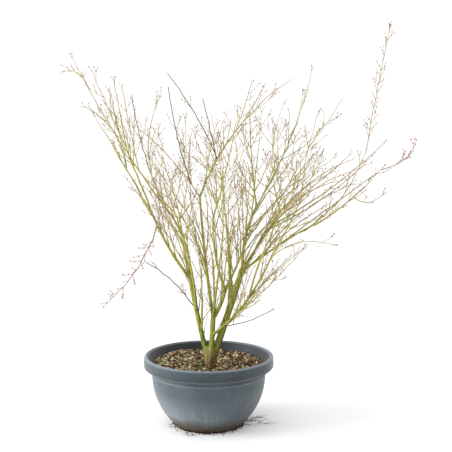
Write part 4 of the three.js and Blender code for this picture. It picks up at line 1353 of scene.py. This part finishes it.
def tone_of(shoot, part):
    """Which of the twig colours a place on a shoot has."""
    if "rosy" in shoot.marks:
        return ROSY_TONE
    if "tan" in shoot.marks:
        return TAN_TONE + int(chance(shoot.seed, 21) < TAN_ROSY_CHANCE)
    if "dark" in shoot.marks:
        return DARK_TONE
    low, high = FOOT_TONE[shoot.level], TIP_TONE[shoot.level]
    tone = low + (high - low) * part + jitter(shoot.seed, 7, TONE_JITTER)
    return min(PLUM_TONE, max(0, int(tone * DARK_TONE)))


def twig_mesh(name, shoots):
    heap = Heap()
    for shoot in shoots:
        parts, swells = ring_parts(shoot)
        shares = shares_by_length(length_table(shoot.line, 40), parts)
        centres, first, second = frames_along(shoot.line, shares)
        centres = centres + np.array([wander(shoot, part) for part in parts])
        radii = [radius_at(shoot, part) * swell for part, swell in zip(parts, swells)]
        sides, tones = TWIG_SIDES[shoot.level], [tone_of(shoot, part) for part in parts]
        shades = [tone for tone in tones[:-1] for _ in range(sides)] + [tones[0], tones[-1]]
        heap.add(*tube(centres, first, second, radii, sides, shoot.seed % 7), shades)
    return heap.build(name)


for shoot in grown:
    if shoot.level > 1 and chance(shoot.seed, 8) < DARK_CHANCE:
        shoot.marks.add("dark")
leading_piece = twig_mesh("leading_shoots", leading)
side_piece = twig_mesh("side_shoots", [s for s in grown if s.level == 1])
fine_piece = twig_mesh("fine_twigs", [s for s in grown if s.level > 1])

# %% [markdown]
# One-year maple twigs are smooth and faintly glossy under a waxy bloom. Six finishes share one recipe: a base colour,
# a lighter bloom in soft patches, and fine pores.

# %% Twig finishes
def twig_bark(name, dark, light, roughness=0.5):
    """Smooth skin with a waxy bloom in soft patches."""
    f = Finish(name, roughness, 1.2)
    return f.done(f.ramp(f.noise(12, 3), dark, light, at=(0.32, 0.68)), f.noise(1.2), 0.1, 0.5)


twig_finishes = [
    twig_bark("olive_twig_bark", "#83843c", "#a29f50"),
    twig_bark("khaki_twig_bark", "#968d48", "#b3a966"),
    twig_bark("tan_twig_bark", "#9a7f50", "#b69c6c"),
    twig_bark("rosy_tan_twig_bark", "#84664e", "#a4846a"),
    twig_bark("plum_grey_twig_bark", "#6e5c5a", "#8c7a78"),
    twig_bark("dark_twig_bark", "#453729", "#63523f"),
]
for piece in (leading_piece, side_piece, fine_piece):
    dress(piece, "twig_bark", *twig_finishes)
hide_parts(*("twigs_" + name for name in MASSES))

# %% [markdown]
# ## Buds
# Maple buds sit in opposite pairs, pressed to the twig at its nodes and spread in a fork at its tip. They are swollen
# here and about to open: small ovals with a point, three to nine millimetres long, from plum to bright rose.

# %% Shape and place the buds
BUD_SIDES, BUD_RINGS = 5, ((0.0, 0.55), (0.2, 0.9), (0.44, 1.0), (0.76, 0.6))
LAST_RING = BUD_SIDES * (len(BUD_RINGS) - 1)
BUD_FACES = band_faces(len(BUD_RINGS), BUD_SIDES)
BUD_FACES += [[LAST_RING + i, LAST_RING + (i + 1) % BUD_SIDES, LAST_RING + BUD_SIDES] for i in range(BUD_SIDES)]
BUD_FACES += [list(reversed(range(BUD_SIDES)))]
ROSE_SHADE, BUD_BANDS = 0, (0.16, 0.6, 0.84)
THICK_WOOD, BARE_NODES, BURST_CHANCE = 1.9, 0.6, 0.3
BURST_HALF, CLOSED_HALF, BURST_LENGTH, CLOSED_LENGTH, OPENING = 1.1, 0.85, (5, 4), (3.4, 2), (0.35, 0.3)
NODE_BUD_LENGTH, NODE_BUD_HALF, NODE_BUD_LEAN, SUNK = (2.8, 2.2), (0.75, 0.3), (0.8, 0.62), 0.6


def add_bud(heap, foot, way, length, half, shade):
    """A pointed oval bud on a foot, pointing one way, sizes in millimetres."""
    across = unit(np.cross(way, (0.31, 0.22, 0.93)))
    turns = 2 * math.pi * np.arange(BUD_SIDES) / BUD_SIDES
    around = np.outer(np.cos(turns), across) + np.outer(np.sin(turns), np.cross(way, across))
    rings = [foot + way * length * along + around * half * girth for along, girth in BUD_RINGS]
    heap.add(np.concatenate([*rings, [foot + way * length]]), BUD_FACES, shade)


def bare(shoot):
    """Dark leaders carry no buds of their own."""
    return "dark" in shoot.marks and shoot.level == 0


node_buds, tip_buds = Heap(), Heap()
for shoot, node in budded:
    radius = radius_at(shoot, node.part)
    if radius > THICK_WOOD or chance(node.seed, 12) < BARE_NODES or bare(shoot):
        continue
    start, ahead, outward = at_node(shoot.line, shoot.seed, node)
    foot = start + wander(shoot, node.part) + outward * radius * SUNK
    length, half = drawn(node.seed, 13, *NODE_BUD_LENGTH), drawn(node.seed, 14, *NODE_BUD_HALF)
    way = unit(ahead * NODE_BUD_LEAN[0] + outward * NODE_BUD_LEAN[1])
    add_bud(node_buds, foot, way, length, half, band_of(chance(node.seed, 11), BUD_BANDS))

for shoot in leading + grown:
    if bare(shoot):
        continue
    seed, rosy = shoot.seed, "rosy" in shoot.marks
    ahead = tangent_at(shoot.line, 1.0)
    tip = shoot.line[2] + wander(shoot, 1.0)
    across = unit(np.cross(ahead, unit(np.array([jitter(seed, 20 + axis, 1) for axis in range(3)]))))
    burst = rosy or chance(seed, 15) < BURST_CHANCE
    for side in (-1, 1):
        length = drawn(seed, 16 + side, *(BURST_LENGTH if burst else CLOSED_LENGTH))
        way = unit(ahead + across * side * drawn(seed, 18 + side, *OPENING))
        shade = ROSE_SHADE if rosy else band_of(chance(seed + side, 11), BUD_BANDS)
        add_bud(tip_buds, tip - ahead * SUNK, way, length, BURST_HALF if burst else CLOSED_HALF, shade)
node_bud_piece = node_buds.build("node_buds")
tip_bud_piece = tip_buds.build("tip_buds")
print("buds at nodes:", node_buds.count, "at tips:", tip_buds.count)

# %% [markdown]
# Bud scales are smooth with a satin gloss. Each of the four finishes mottles between two reds or tans of its own.

# %% Bud finishes
bud_finishes = [
    twig_bark("rose_bud_scale", "#925048", "#b4766a", 0.42),
    twig_bark("dusty_pink_bud_scale", "#947268", "#b49488", 0.45),
    twig_bark("plum_bud_scale", "#604846", "#7e6664", 0.42),
    twig_bark("tan_bud_scale", "#8e7446", "#ae9464", 0.45),
]
for piece in (node_bud_piece, tip_bud_piece):
    dress(piece, "twig_bark", *bud_finishes)

# %% [markdown]
# ## Stray roots and crumbs
# Fine roots have crept out under the pot's foot and lie on the floor, with crumbs of compost round them. The roots
# are thin wandering tubes, some forked, and the crumbs are small angular lumps.

# %% Lay the stray roots
ROOT_SEED, ROOT_SIDES, ROOT_STRIDE, ROOT_TAPER, ROOT_RADII = 5, 5, 3.5, 0.35, (0.55, 0.95)
ROOT_BEND, ROOT_RETURN, ROOT_LEVEL, ROOT_WAVE, ROOT_WAVE_STEP = 0.45, 0.3, 0.7, 1.1, 0.9
ROOT_FORK_CHANCE, ROOT_FORK_TURN, FORK_LENGTH, FORK_RADIUS = 0.3, 0.8, 0.4, 0.65
ROOT_STARTS = [(5, -6, 118), (14, 4, 84), (-10, 2, 38), (20, 24, 44), (-18, -6, 30), (-112, -14, 56), (-124, 3, 40),
               (-98, 14, 26), (-62, -4, 22), (-152, 6, 34), (-166, -9, 28), (158, 6, 30), (60, 9, 28), (100, -8, 24)]


def add_root(heap, dice, start, aim, length, radius, forks=True):
    """A root that wanders about its aim and rises and dips over the floor; its forks are added before it."""
    heading, steps, centres = aim, max(4, int(length / ROOT_STRIDE)), [np.array(start)]
    for step in range(steps):
        heading += dice.gauss(0, ROOT_BEND) - ROOT_RETURN * (heading - aim)
        wave = abs(math.sin(step * ROOT_WAVE_STEP + ROOT_SEED)) * min(1, step / 3)
        height = ROOT_LEVEL + radius + ROOT_WAVE * wave
        ahead = centres[-1] + level_way(heading) * length / steps
        centres.append(np.array((ahead[0], ahead[1], height)))
        if forks and step > 1 and dice.random() < ROOT_FORK_CHANCE:
            way = heading + dice.choice((-ROOT_FORK_TURN, ROOT_FORK_TURN))
            add_root(heap, dice, centres[-1], way, length * FORK_LENGTH, radius * FORK_RADIUS, False)
    centres = np.array(centres)
    first = np.cross(np.gradient(centres, axis=0), UP)
    first /= np.linalg.norm(first, axis=1)[:, None]
    radii = np.linspace(radius, radius * ROOT_TAPER, len(centres))
    heap.add(*tube(centres, first, np.broadcast_to(UP, first.shape), radii, ROOT_SIDES))


root_heap, dice = Heap(), random.Random(ROOT_SEED)
for bearing, twist, length in ROOT_STARTS:
    way = math.radians(bearing)
    foot = (FOOT_RADIUS - 5) * level_way(way) + UP * 1.4
    add_root(root_heap, dice, foot, way + math.radians(twist), length, dice.uniform(*ROOT_RADII))
roots = root_heap.build("stray_roots")
dress(roots, "bark_mulch", grainy("dry_fine_root", "#2f261e", "#5c4e3e", 5, 0.8, 0.1))

# %% Drop the crumbs
CRUMB_COUNT, CRUMB_SEED, CRUMB_LEAST, CRUMB_MORE, CRUMB_POWER = 900, 17, 0.8, 3.4, 2.2
CRUMB_WEIGHTS = (4, 5, 2)  # all round, heaped at the front, and at the front right
FRONT_BEARING, RIGHT_BEARING, CLOSE_CHANCE, CLOSE_GAP, WIDE_GAP = (-1.6, 0.4), (-0.5, 0.25), 0.8, (1.2, 2.0), (3, 9)

crumb_heap, dice = Heap(), random.Random(CRUMB_SEED)
shape, shape_faces = chip_shapes[0]
for _ in range(CRUMB_COUNT):
    bearings = (dice.uniform(0, FULL_TURN), dice.gauss(*FRONT_BEARING), dice.gauss(*RIGHT_BEARING))
    bearing = dice.choices(bearings, CRUMB_WEIGHTS)[0]
    size = CRUMB_LEAST + CRUMB_MORE * dice.random() ** CRUMB_POWER
    away = FOOT_RADIUS + (dice.gauss(*CLOSE_GAP) if dice.random() < CLOSE_CHANCE else abs(dice.gauss(*WIDE_GAP)))
    turn = turn_matrix(*(dice.uniform(0, FULL_TURN) for _ in range(3)))
    sized = (shape * (size, size * 0.8, size * 0.6)) @ turn.T
    crumb_heap.add(sized + away * level_way(bearing) + UP * (0.05 - sized[:, 2].min()), shape_faces)
crumbs = crumb_heap.build("compost_crumbs", smooth=False)
dress(crumbs, "bark_mulch", grainy("dry_compost_crumb", "#1f1710", "#493929", 2, 0.9, 0.2))

# %% [markdown]
# ## The floor
# A wide round disc of matt white paint runs out under the whole picture. The bright surround leaves only a faint
# shadow on it, at the lower right.

# %% Pale floor
FLOOR_RADIUS, FLOOR_TONES = 1.7, 900

floor = start_piece("studio_floor", bpy.ops.mesh.primitive_circle_add, vertices=96, radius=FLOOR_RADIUS,
                    fill_type="NGON", location=(0, 0, 0))
paint = Finish("matt_studio_paint", 0.9, 1.4)
paint.link(paint.ramp(paint.noise(FLOOR_TONES), "#fcfdfd", "#fefefe"), "Base Color")
floor.data.materials.append(paint.material)
print("floor laid")

# %% Print the CAD box and finish
print("CAD box:", [round(v, 3) for v in (*cad_low, *cad_high)])
